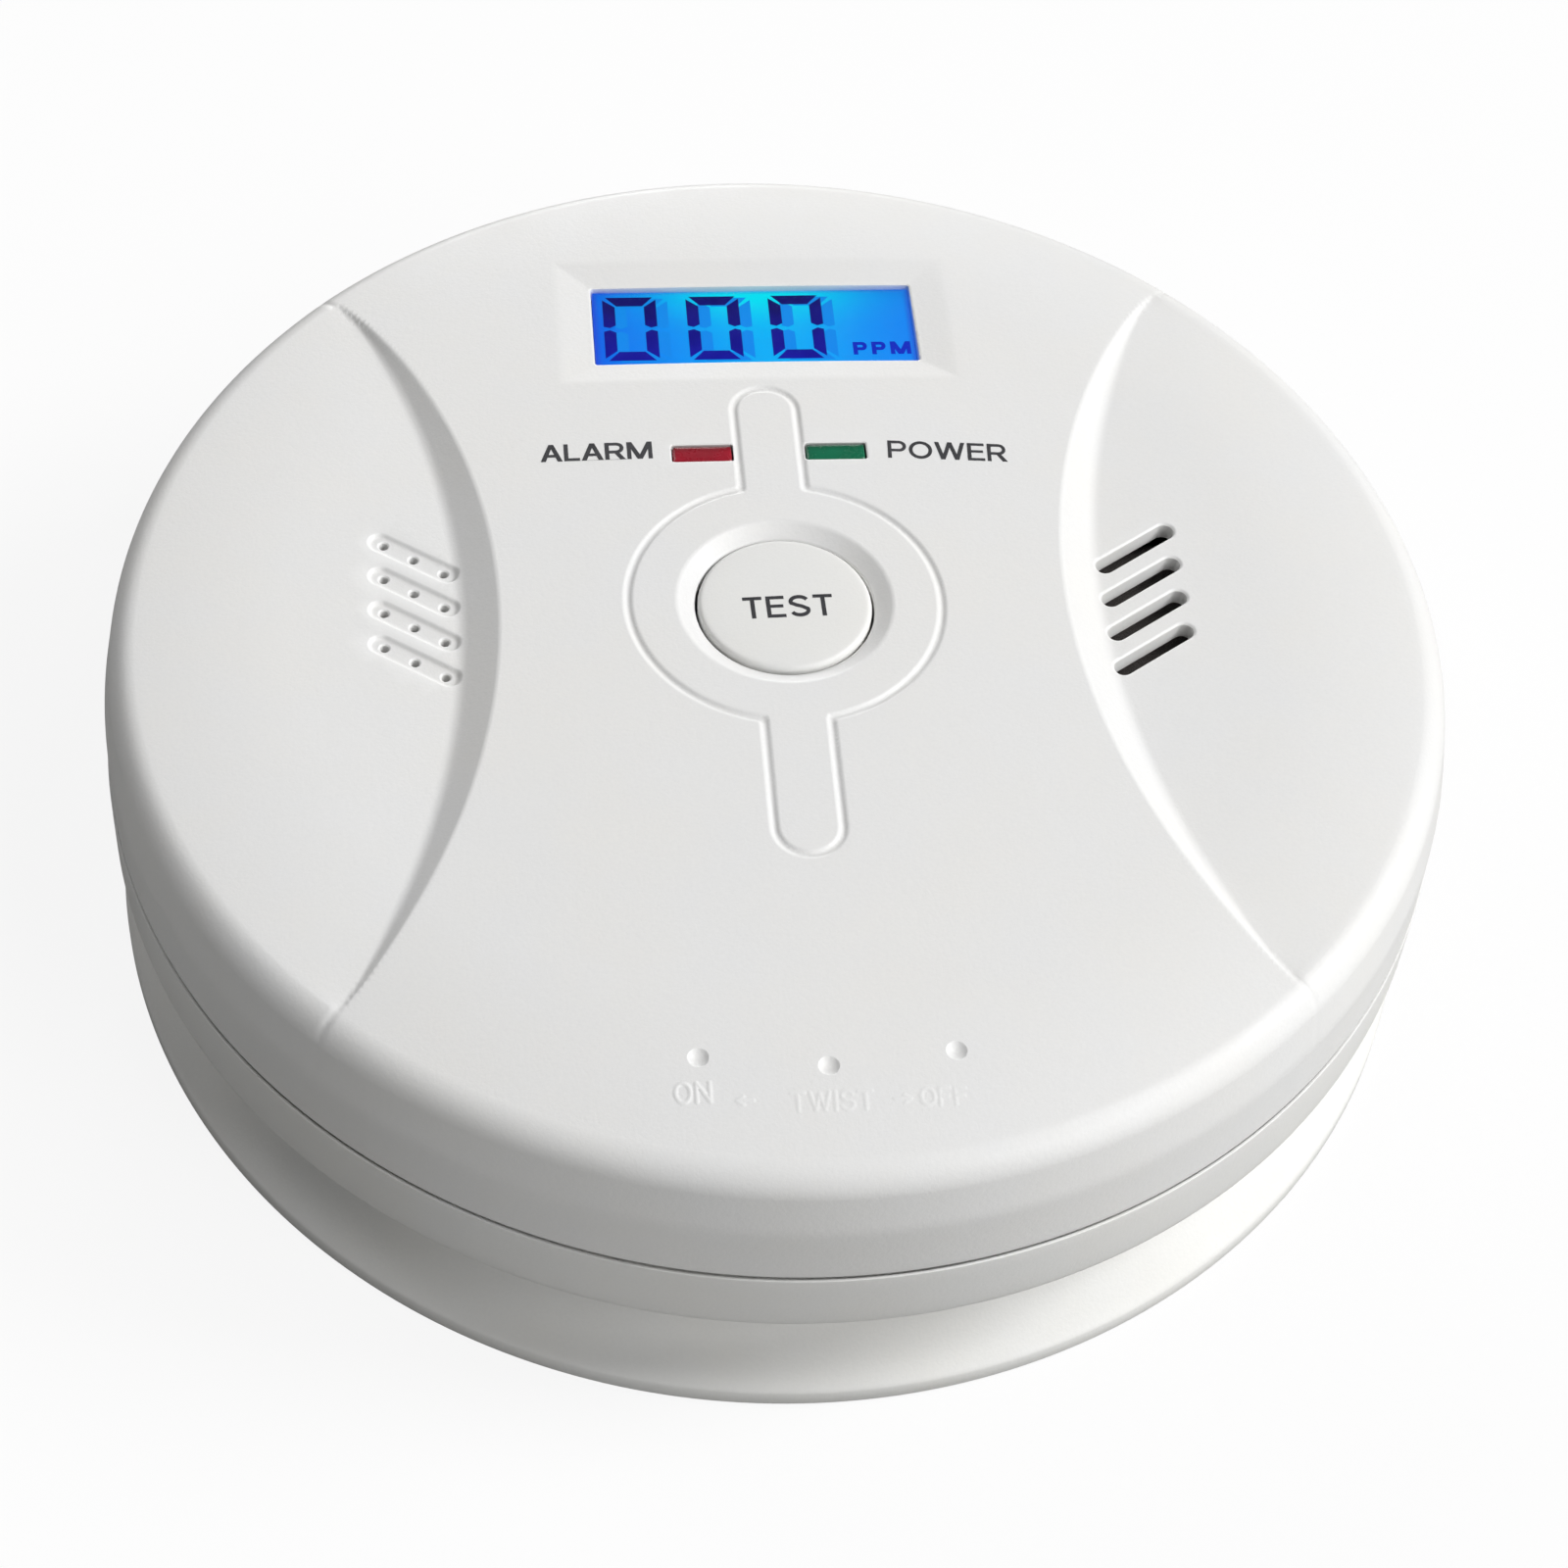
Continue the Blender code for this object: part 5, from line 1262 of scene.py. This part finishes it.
def printed(name, word, centre, size, tilt, surface, material, weight, gap,
            lift=0.02, depth=0.10, blocky=False):
    """A word as a thin layer draped on surface(x, y), from depth below it to lift above.

    weight (stroke width) and gap (between letters) are shares of the letter height.
    """
    shapes, at = [], 0.0
    for letter in word:
        letter_width, letter_shapes = glyph(letter, weight, blocky)
        shapes += [[(x + at, y) for x, y in shape] for shape in letter_shapes]
        at += letter_width + gap
    total = at - gap
    cos, sin = math.cos(math.radians(tilt)), math.sin(math.radians(tilt))

    def place(x, y):
        u, v = (x / total - 0.5) * size[0], (y - 0.5) * size[1]
        return Vector((centre[0] + u * cos - v * sin, centre[1] + u * sin + v * cos))

    outlines = [[place(x, y) for x, y in shape] for shape in shapes]
    corners = [corner for outline in outlines for corner in outline]
    numbers = iter(range(len(corners)))
    faces = [[next(numbers) for _ in outline] for outline in outlines]
    co, _, triangles, _, _, _ = delaunay_2d_cdt(corners, [], faces, 0, 1e-4)

    bm = bmesh.new()
    flat = [bm.verts.new((p.x, p.y, 0)) for p in co]
    for triangle in triangles:
        middle = sum((co[i] for i in triangle), Vector((0, 0))) / len(triangle)
        if not inside_any(middle, outlines):
            continue
        face = bm.faces.new([flat[i] for i in triangle])
        face.normal_update()
        if face.normal.z < 0:
            face.normal_flip()
    unused = [v for v in bm.verts if not v.link_faces]
    bmesh.ops.delete(bm, geom=unused, context="VERTS")
    made = bmesh.ops.extrude_face_region(bm, geom=list(bm.faces), use_keep_orig=True)
    top = {g for g in made["geom"] if isinstance(g, bmesh.types.BMVert)}
    for v in bm.verts:
        v.co.z = float(surface(v.co.x, v.co.y)) + (lift if v in top else -depth)
    return object_from_bmesh(name, bm, material)


def printing_ink(name, colour):
    look = new_look(name)
    speck = look.noise(0.00012, detail=3.0, rough=0.6)
    cloud = look.noise(0.0012)
    base = look.mix(look.remap(cloud), colour, shade(colour, 1.35, lift=0.006))
    base = look.mix(look.remap(speck, to=(0.0, 0.6), at=(0.58, 0.75)), base,
                    shade(colour, 1.8, lift=0.02))
    return look.principled({
        "Base Color": base,
        "Roughness": look.remap(speck, to=(0.42, 0.58)),
        "Normal": look.bump(speck, distance=0.000006),
    })


def button_z(x, y):
    radii, rises = zip(*BUTTON_CROWN)
    return np.interp(np.hypot(x, y), radii, [BUTTON_TOP + rise for rise in rises])


black_ink = printing_ink("printed_ink", (0.022, 0.022, 0.026))
alarm_word = printed("legend_alarm", "ALARM", centre=(-13.08, 15.58), size=(8.45, 1.80), tilt=0.5,
                     surface=plain_front_z, material=black_ink, weight=0.17, gap=0.07)
power_word = printed("legend_power", "POWER", centre=(13.62, 15.02), size=(9.15, 1.86), tilt=-3.2,
                     surface=plain_front_z, material=black_ink, weight=0.155, gap=0.11)
for word_object in (alarm_word, power_word):
    register(word_object, "detector")
test_word = printed("legend_test", "TEST", centre=(0.19, -0.45), size=(6.6, 2.08), tilt=1.7,
                    surface=button_z, material=black_ink, weight=0.155, gap=0.16)
register(test_word, "button")


# ================================================================== display
# colours of the lit field from left to right: (position, colour)
FIELD_COLOURS = (
    (0.0, (0.004, 0.10, 0.80)), (0.08, (0.006, 0.21, 0.92)), (0.30, (0.004, 0.31, 0.98)),
    (0.50, (0.002, 0.50, 1.0)), (0.66, (0.004, 0.44, 1.0)), (0.82, (0.008, 0.32, 1.0)),
    (1.0, (0.010, 0.25, 0.98)),
)


def display_light():
    """The lit blue field: brightest at the top near the middle, deeper towards the edges."""
    look = new_look("display_light")
    axes = look.split()
    x, y = axes["X"], axes["Y"]
    across = look.remap(x, at=(-0.0127, 0.0127))
    field = look.add("ShaderNodeValToRGB", {0: across})
    field.color_ramp.interpolation = "B_SPLINE"
    stops = field.color_ramp.elements
    while len(stops) < len(FIELD_COLOURS):
        stops.new(0.5)
    for stop, (position, colour) in zip(stops, FIELD_COLOURS):
        stop.position = position
        stop.color = (*colour, 1)
    # hot spot above the middle: centre and half widths
    spot_x, spot_y, spot_wide, spot_high = 0.0003, 0.0347, 0.0068, 0.0032
    dx = look.calc("MULTIPLY", look.calc("SUBTRACT", x, spot_x), 1 / spot_wide)
    dy = look.calc("MULTIPLY", look.calc("SUBTRACT", y, spot_y), 1 / spot_high)
    squared = look.calc("ADD", look.calc("MULTIPLY", dx, dx), look.calc("MULTIPLY", dy, dy))
    spot = look.calc("POWER", 2.718, look.calc("MULTIPLY", squared, -1.0))
    colour = look.mix(look.calc("MULTIPLY", spot, 1.15, clamp=True), field.outputs[0],
                      (0.0, 0.88, 1.0))
    # darker, more violet line along the edges of the field
    edge_x = look.calc("SUBTRACT", 0.0125, look.calc("ABSOLUTE", x, 0.0))
    from_middle = look.calc("SUBTRACT", y, 0.03000)
    edge_y = look.calc("SUBTRACT", 0.0043, look.calc("ABSOLUTE", from_middle, 0.0))
    edge = look.calc("MINIMUM", edge_x, edge_y)
    line = look.remap(edge, to=(1.0, 0.0), at=(0.0, 0.00042))
    colour = look.mix(look.calc("MULTIPLY", line, 0.55), colour, (0.03, 0.05, 0.62))
    grain = look.noise(0.0009, detail=3.0, rough=0.6)
    return look.principled({
        "Base Color": (0.0, 0.01, 0.05),
        "Roughness": look.remap(grain, to=(0.35, 0.45)),
        "Specular IOR Level": 0.08,
        "Emission Color": look.mix(look.remap(grain, to=(0.0, 0.06)), colour, (0.0, 0.08, 0.5)),
        "Emission Strength": 0.97,
        "Normal": look.bump(grain, distance=0.000002),
    })


def segment_ink(name, top, low):
    """Faintly glowing ink, shading from the top colour to the low one."""
    look = new_look(name)
    cloud = look.noise(0.0022)
    down = look.remap(look.split()["Y"], at=(0.0335, 0.0262))
    blend = look.calc("ADD", look.calc("MULTIPLY", down, 0.85),
                      look.remap(cloud, to=(-0.15, 0.15)), clamp=True)
    return look.principled({
        "Base Color": (0.003, 0.003, 0.02),
        "Roughness": look.remap(cloud, to=(0.3, 0.4)),
        "Specular IOR Level": 0.08,
        "Emission Color": look.mix(blend, top, low),
        "Emission Strength": 0.95,
        "Normal": look.bump(cloud, distance=0.000002),
    })


def clear_cover():
    """Thin clear layer: mostly see-through, with a soft sheen and faint smears."""
    look = new_look("display_clear_layer")
    smear = look.noise(0.0018, detail=3.0, rough=0.6, stretch=(1.0, 0.35, 1.0))
    clear = look.add("ShaderNodeBsdfTransparent")
    gloss = look.add("ShaderNodeBsdfGlossy", {
        "Roughness": look.remap(smear, to=(0.10, 0.22)),
        "Normal": look.bump(smear, distance=0.000002),
    })
    fresnel = look.add("ShaderNodeFresnel", {"IOR": 1.36})
    share = look.calc("MULTIPLY", fresnel.outputs[0], 0.22)
    look.put(look.nodes["Material Output"].inputs["Surface"],
             look.mix_shaders(share, clear.outputs[0], gloss.outputs[0]))
    return look.owner


def digit_bars(x0, x1, y0=26.58, y1=33.66, width=0.96, gap=0.27):
    """Outlines of the six outer bars of a seven-bar numeral, with mitred ends."""
    middle, half_gap, half = (y0 + y1) / 2, gap / 2, width / 2
    end = width + half_gap

    def upright(x, inward, y, toward):
        """A bar on side x; inward and toward point to the middle of the digit."""
        points = [(x, y + toward * gap),
                  (x, middle - toward * (half_gap + half * 0.35)),
                  (x + inward * half, middle - toward * half_gap),
                  (x + inward * width, middle - toward * (half_gap + half * 0.6)),
                  (x + inward * width, y + toward * end)]
        # mirrored bars run the other way, so that all wind alike
        return points[:1] + points[:0:-1] if inward == toward else points

    return [
        [(x1 - gap, y1), (x1 - end, y1 - width), (x0 + end, y1 - width), (x0 + gap, y1)],
        [(x0 + gap, y0), (x1 - gap, y0), (x1 - end, y0 + width), (x0 + end, y0 + width)],
        upright(x0, 1, y1, -1), upright(x0, 1, y0, 1),
        upright(x1, -1, y1, -1), upright(x1, -1, y0, 1),
    ]


def build_display():
    x, y0, y1 = WIN_X - 0.1, WIN_Y0 + 0.1, WIN_Y1 - 0.1
    sheet = rounded_box(-x + 0.05, x - 0.05, y0 + 0.05, y1 - 0.05, 0.1, 2.0, 3)
    light_sheet = solid("display_light_sheet", [prism(sheet, 27.00, 27.85)], display_light())

    pane, chamfer, pane_top = rounded_box(-x, x, y0, y1, 0.12, 2.0, 3), 0.05, 28.08
    clear_layer = solid("display_clear_cover", [[
        (pane, 27.93), (pane, pane_top - chamfer),
        (offset_line(pane, chamfer, closed=True), pane_top),
    ]], clear_cover())

    bars = []
    for x0, x1 in ((-11.8, -7.58), (-5.2, -1.02), (1.33, 5.53)):
        bars += digit_bars(x0, x1)
    digits = solid("display_digits", [prism(bar, 27.875, 27.91) for bar in bars],
                   segment_ink("digit_ink", (0.004, 0.003, 0.13), (0.006, 0.006, 0.40)))
    shadow_ink = segment_ink("digit_shadow", (0.003, 0.30, 0.92), (0.004, 0.27, 0.94))
    shadow_bars = [[(x + 0.92, y - 0.12) for x, y in bar] for bar in bars]
    shadows = solid("display_digit_shadows", [prism(bar, 27.83, 27.862) for bar in shadow_bars],
                    shadow_ink)
    unit = printed(
        "display_unit", "PPM", centre=(9.92, 27.6), size=(4.55, 1.36), tilt=0.0,
        surface=lambda x, y: 27.88,
        material=segment_ink("unit_ink", (0.004, 0.02, 0.50), (0.006, 0.03, 0.60)),
        weight=0.22, gap=0.17, lift=0.03, depth=0.02, blocky=True)
    register(light_sheet, "detector", "display_front_glass")
    for piece in (clear_layer, digits, shadows, unit):
        register(piece, "detector")


build_display()


# ================================================================== lamp bars
def lamp_resin(name, colour, mottle_and_shade):
    """Tinted resin, deeper along its +Y side as painted shade under the slot's upper wall, and
    clouded at random.
    """
    look = new_look(name)
    cloud = look.noise(0.0016, detail=3.0)
    fine = look.noise(0.00025)
    across = look.remap(look.split()["Y"],
                        at=((LAMP_Y + LAMP_W / 2) * MM, (LAMP_Y - LAMP_W / 2) * MM))
    # painted shade: the darker colour on the +Y side stands for the shade of the slot's upper
    # wall; the same colour also clouds the resin at random below
    base = look.mix(look.remap(across, at=(0.05, 0.45)), mottle_and_shade, colour)
    return look.principled({
        "Base Color": look.mix(look.remap(cloud, to=(0.0, 0.35)), base, mottle_and_shade),
        "Roughness": look.calc("ADD", look.remap(cloud, to=(0.22, 0.32)),
                               look.remap(fine, to=(-0.03, 0.03))),
        "Subsurface Weight": 0.25,
        "Subsurface Radius": (0.0008, 0.0008, 0.0008),
        "Subsurface Scale": 1.0,
        "Coat Weight": 0.25,
        "Coat Roughness": 0.15,
        "Normal": look.bump(fine, distance=0.000003),
    })


# sections of a lamp bar: (outline growth, z, corner radius)
LAMP_SECTIONS = ((-0.12, 23.4, 0.15), (-0.12, 28.80, 0.15), (-0.15, 28.95, 0.16),
                 (-0.22, 29.03, 0.18), (-0.32, 29.07, 0.2), (-0.55, 29.08, 0.2))


def build_lamp(name, node, side, resin):
    cx = side * LAMP_X

    def outline(half_x, half_y, radius):
        return rounded_box(cx - half_x, cx + half_x, LAMP_Y - half_y, LAMP_Y + half_y, radius,
                           9.0, 4)

    bar = solid(name, [[(outline(LAMP_L / 2 + grow, LAMP_W / 2 + grow, radius), z)
                        for grow, z, radius in LAMP_SECTIONS]], resin)
    foot = [prism(outline(2.8, 1.35, 0.25), 22.4, 23.6)]
    for leg_x in (cx - 1.27, cx + 1.27):
        leg = rectangle(leg_x - 0.25, leg_x + 0.25, LAMP_Y - 0.25, LAMP_Y + 0.25)
        foot.append(prism(leg, 21.7, 22.6))
    carve(bar, [("UNION", solid(name + "_base", foot))], smooth_angle=40)
    register(bar, "detector", node)


build_lamp("alarm_lamp_bar", "alarm_lamp", -1,
           lamp_resin("lamp_red_resin", colour=(0.36, 0.018, 0.035), mottle_and_shade=(0.16, 0.006, 0.012)))
build_lamp("power_lamp_bar", "power_lamp", 1,
           lamp_resin("lamp_green_resin", colour=(0.012, 0.17, 0.085),
                      mottle_and_shade=(0.004, 0.075, 0.036)))


# ================================================================== materials of the kept parts
def board(name):
    """Solder mask over glass fibre with faint copper tracks underneath."""
    look = new_look(name)
    weave = look.add("ShaderNodeTexWave",
                     {"Scale": 420.0, "Distortion": 1.5, "Vector": look.coords},
                     bands_direction="X").outputs["Fac"]
    tracks = look.add("ShaderNodeTexBrick", {
        "Scale": 160.0, "Mortar Size": 0.06, "Brick Width": 1.7, "Row Height": 0.34,
        "Vector": look.coords,
    }).outputs["Fac"]
    cloud = look.noise(0.004, detail=3.0)
    base = look.mix(look.remap(cloud), (0.018, 0.15, 0.055), (0.012, 0.11, 0.04))
    copper = look.calc("MULTIPLY", look.calc("SUBTRACT", 1.0, tracks), 0.35)
    base = look.mix(copper, base, (0.04, 0.24, 0.09))
    edge = look.calc("MULTIPLY", look.corner_mask(0.0002), 0.6)
    relief = look.calc("ADD", look.calc("MULTIPLY", weave, 0.3), tracks)
    return look.principled({
        "Base Color": look.mix(edge, base, (0.30, 0.28, 0.16)),
        "Roughness": look.remap(cloud, to=(0.28, 0.42)),
        "Coat Weight": 0.3,
        "Normal": look.bump(relief, distance=0.000012),
    })


def felt(name):
    look = new_look(name)
    hair = look.noise(0.00016, detail=6.0, rough=0.75, distort=2.0)
    clump = look.noise(0.0011, detail=3.0, rough=0.6)
    base = look.mix(look.remap(hair), (0.020, 0.016, 0.015), (0.075, 0.062, 0.056))
    return look.principled({
        "Base Color": look.mix(look.remap(clump, to=(0.0, 0.5)), base, (0.035, 0.026, 0.022)),
        "Roughness": look.remap(hair, to=(0.85, 1.0)),
        "Sheen Weight": 0.3,
        "Normal": look.bump(look.calc("ADD", hair, clump), distance=0.00008),
    })


def sleeve(name, body, band):
    """Metallised sleeve of a cell: dark body, plain bands beyond 15 mm from the middle in Y."""
    look = new_look(name)
    fine = look.noise(0.0003, detail=3.0)
    cloud = look.noise(0.005, detail=3.0)
    from_middle = look.calc("ABSOLUTE", look.split()["Y"], 0.0)
    base = look.mix(look.remap(from_middle, at=(0.0150, 0.0151)), body, band)
    base = look.mix(look.remap(cloud, to=(0.0, 0.4)), base, shade(body, 0.7))
    edge = look.calc("MULTIPLY", look.corner_mask(0.0003), 0.8)
    return look.principled({
        "Base Color": look.mix(edge, base, (0.6, 0.6, 0.6)),
        "Metallic": 0.55,
        "Roughness": look.remap(fine, to=(0.24, 0.36)),
        "Normal": look.bump(fine, distance=0.000004),
    })


# (node, material, colour, roughness, colour variation, coat weight, grain height in metres)
HARD_PARTS = (
    ("switch_body", "switch_housing", (0.03, 0.03, 0.034), 0.42, 0.3),
    ("switch_plunger", "switch_plunger_red", (0.42, 0.05, 0.035), 0.42, 0.2),
    ("backlight_guide", "light_guide_acrylic", (0.55, 0.68, 0.82), 0.3, 0.08, 0.4),
    ("display_rear_glass", "display_rear_cell", (0.35, 0.48, 0.62), 0.16, 0.1, 0.6),
    ("display_frame", "frame_plastic", (0.72, 0.72, 0.70), 0.5, 0.06),
    ("sensor_base", "sensor_base_plastic", (0.028, 0.028, 0.03), 0.5, 0.3),
    ("sensor_ribbon", "ribbon_pvc", (0.36, 0.36, 0.39), 0.48, 0.12),
    ("buzzer_housing", "buzzer_plastic", (0.032, 0.032, 0.034), 0.46, 0.3),
    ("buzzer_ceramic", "disc_ceramic", (0.78, 0.76, 0.70), 0.5, 0.1),
    ("buzzer_lead_red", "lead_red", (0.42, 0.018, 0.018), 0.42, 0.2),
    ("buzzer_lead_black", "lead_black", (0.02, 0.02, 0.022), 0.42, 0.3),
    ("microcontroller", "chip_epoxy", (0.022, 0.022, 0.024), 0.42, 0.35, 0.0, 0.00002),
    ("amplifier_chip", "chip_epoxy_small", (0.024, 0.024, 0.026), 0.42, 0.35, 0.0, 0.00002),
    ("transistor", "transistor_epoxy", (0.02, 0.02, 0.022), 0.45, 0.35, 0.0, 0.00002),
    ("buzzer_coil", "coil_ferrite", (0.055, 0.048, 0.045), 0.55, 0.35, 0.3),
    ("ribbon_header", "header_nylon", (0.74, 0.73, 0.68), 0.48, 0.08),
    *((f"capacitor_{k}", f"capacitor_sleeve_{k}", (0.06, 0.07, 0.17), 0.32, 0.25, 0.4)
      for k in (1, 2, 3)),
    *((f"resistor_{k}", f"resistor_lacquer_{k}", (0.50, 0.38, 0.24), 0.45, 0.2, 0.2)
      for k in (1, 2, 3)),
)
ZINC = (0.56, 0.56, 0.57)
# (node, material, colour, roughness, stretch of the brushing, stain)
METAL_PARTS = (
    ("sensor_can", "sensor_steel", (0.58, 0.58, 0.59), 0.26, (1, 1, 12)),
    ("buzzer_disc", "disc_brass", (0.72, 0.52, 0.22), 0.3, (1, 6, 1), 0.25),
    ("crystal", "crystal_can", (0.62, 0.62, 0.62), 0.22, (8, 1, 1)),
    *((f"board_screw_{k}", f"zinc_board_screw_{k}", ZINC, 0.3) for k in (1, 2, 3)),
    *((f"case_screw_{k}", f"zinc_case_screw_{k}", ZINC, 0.3) for k in (1, 2, 3, 4)),
    *((node, f"nickel_{node}", (0.68, 0.67, 0.63), 0.24, (3, 1, 1))
      for node in ("contact_positive", "contact_bridge_low", "contact_bridge_high",
                   "contact_negative")),
)


def dress_kept_parts():
    materials = {
        "main_board": board("solder_mask"),
        "sensor_board": board("solder_mask_sensor"),
        "dust_filter": felt("dust_felt"),
        "display_connector": hard("layered_rubber", (0.22, 0.22, 0.24), rough=0.7, vary=0.25,
                                  second=(0.10, 0.10, 0.11)),
    }
    for node, *settings in HARD_PARTS:
        materials[node] = hard(*settings)
    for node, *settings in METAL_PARTS:
        materials[node] = metal(*settings)
    for k in (1, 2, 3):
        materials[f"battery_cell_{k}"] = sleeve(f"cell_sleeve_{k}", body=(0.08, 0.09, 0.11),
                                                band=(0.62, 0.45, 0.16))
    for node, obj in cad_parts.items():
        if node not in REPLACED:
            obj.data.materials.clear()
            obj.data.materials.append(materials[node])


dress_kept_parts()


# ================================================================== floor and world
def floor_paper():
    """White paper to the camera, but a dim diffuse floor to the light it throws back."""
    look = new_look("floor_paper")
    sheet = look.noise(0.02, detail=3.0)
    look.principled({
        "Base Color": look.mix(look.remap(sheet), (0.90, 0.90, 0.90), (0.885, 0.885, 0.885)),
        "Roughness": 0.9,
        "Specular IOR Level": 0.1,
    })
    paper = look.nodes["Principled BSDF"].outputs[0]
    glow = look.add("ShaderNodeEmission", {"Color": (1, 1, 1), "Strength": 1.0}).outputs[0]
    seen = look.mix_shaders(0.88, paper, glow)
    dim = look.add("ShaderNodeBsdfDiffuse", {"Color": (0.27, 0.27, 0.262)}).outputs[0]
    to_camera = look.add("ShaderNodeLightPath").outputs["Is Camera Ray"]
    look.put(look.nodes["Material Output"].inputs["Surface"],
             look.mix_shaders(to_camera, dim, seen))
    return look.owner


def studio_world():
    """Almost no light on the object, but a bright backdrop to the camera."""
    look = Look(bpy.data.worlds.new("studio"))
    ambient = look.nodes["Background"]
    look.put(ambient.inputs[0], (1.0, 1.0, 1.0))
    look.put(ambient.inputs[1], 0.02)
    backdrop = look.add("ShaderNodeBackground", {0: (1.0, 1.0, 1.0), 1: 0.88})
    to_camera = look.add("ShaderNodeLightPath").outputs["Is Camera Ray"]
    look.put(look.nodes["World Output"].inputs["Surface"],
             look.mix_shaders(to_camera, ambient.outputs[0], backdrop.outputs[0]))
    return look.owner


bpy.ops.mesh.primitive_plane_add(size=6.0, location=(0, 0, -0.00002))
floor = bpy.context.object
floor.name = "floor"
floor.data.materials.append(floor_paper())
bpy.context.scene.world = studio_world()

# ================================================================== lamps
LIGHT_DISTANCE, LIGHT_SIZE = 3.0, 1.3
LIGHT_TARGET = Vector((0, 0, 0.02))
# (name, azimuth from +X towards +Y, elevation, strength); strength is the light a square-on
# surface gets, with 1.0 the light under a plain white sky
LIGHTS = (
    ("right_high", 0, 38, 0.71), ("right_top", 0, 62, 0.185), ("left_back_high", 135, 38, 0.155),
    ("left_low", 180, 10, 0.065), ("left_front_low", 225, 10, 0.06), ("front_low", 270, 10, 0.055),
    ("front_right_low", 315, 10, 0.16), ("front_right_high", 315, 38, 0.295),
    ("back_low", 90, 10, 0.37),
)


def add_light(name, azimuth, elevation, strength):
    light = bpy.data.lights.new(name, "AREA")
    light.shape = "DISK"
    light.size = LIGHT_SIZE
    light.energy = strength * math.pi ** 2 * LIGHT_DISTANCE ** 2
    obj = link_object(name, light)
    a, e = math.radians(azimuth), math.radians(elevation)
    toward = Vector((math.cos(a) * math.cos(e), math.sin(a) * math.cos(e), math.sin(e)))
    obj.location = toward * LIGHT_DISTANCE + LIGHT_TARGET
    obj.rotation_euler = (LIGHT_TARGET - obj.location).to_track_quat("-Z", "Y").to_euler()


for settings in LIGHTS:
    add_light(*settings)

# ================================================================== camera
CAMERA_TARGET, CAMERA_DISTANCE = Vector((-0.83, -12.96, 23.93)), 250.97
CAMERA_AZIMUTH, CAMERA_ELEVATION, CAMERA_ROLL = -8.57, 50.77, 5.15     # azimuth from -Y


def add_camera():
    azimuth, elevation = math.radians(CAMERA_AZIMUTH), math.radians(CAMERA_ELEVATION)
    roll = math.radians(CAMERA_ROLL)
    back = Vector((math.sin(azimuth) * math.cos(elevation),
                   -math.cos(azimuth) * math.cos(elevation), math.sin(elevation)))
    level = Vector((math.cos(azimuth), math.sin(azimuth), 0))
    upright = back.cross(level)
    right = math.cos(roll) * level + math.sin(roll) * upright
    up = -math.sin(roll) * level + math.cos(roll) * upright
    data = bpy.data.cameras.new("camera")
    data.sensor_width = 36
    data.lens = 80.178975
    data.clip_start, data.clip_end = 0.01, 20
    camera = link_object("camera", data)
    matrix = Matrix((right, up, back)).transposed().to_4x4()
    matrix.translation = (CAMERA_TARGET + back * CAMERA_DISTANCE) * MM
    camera.matrix_world = matrix
    bpy.context.scene.camera = camera


add_camera()

view = bpy.context.scene.view_settings
view.view_transform = "Standard"
view.look = "None"
view.exposure = 0.0
view.gamma = 1.0
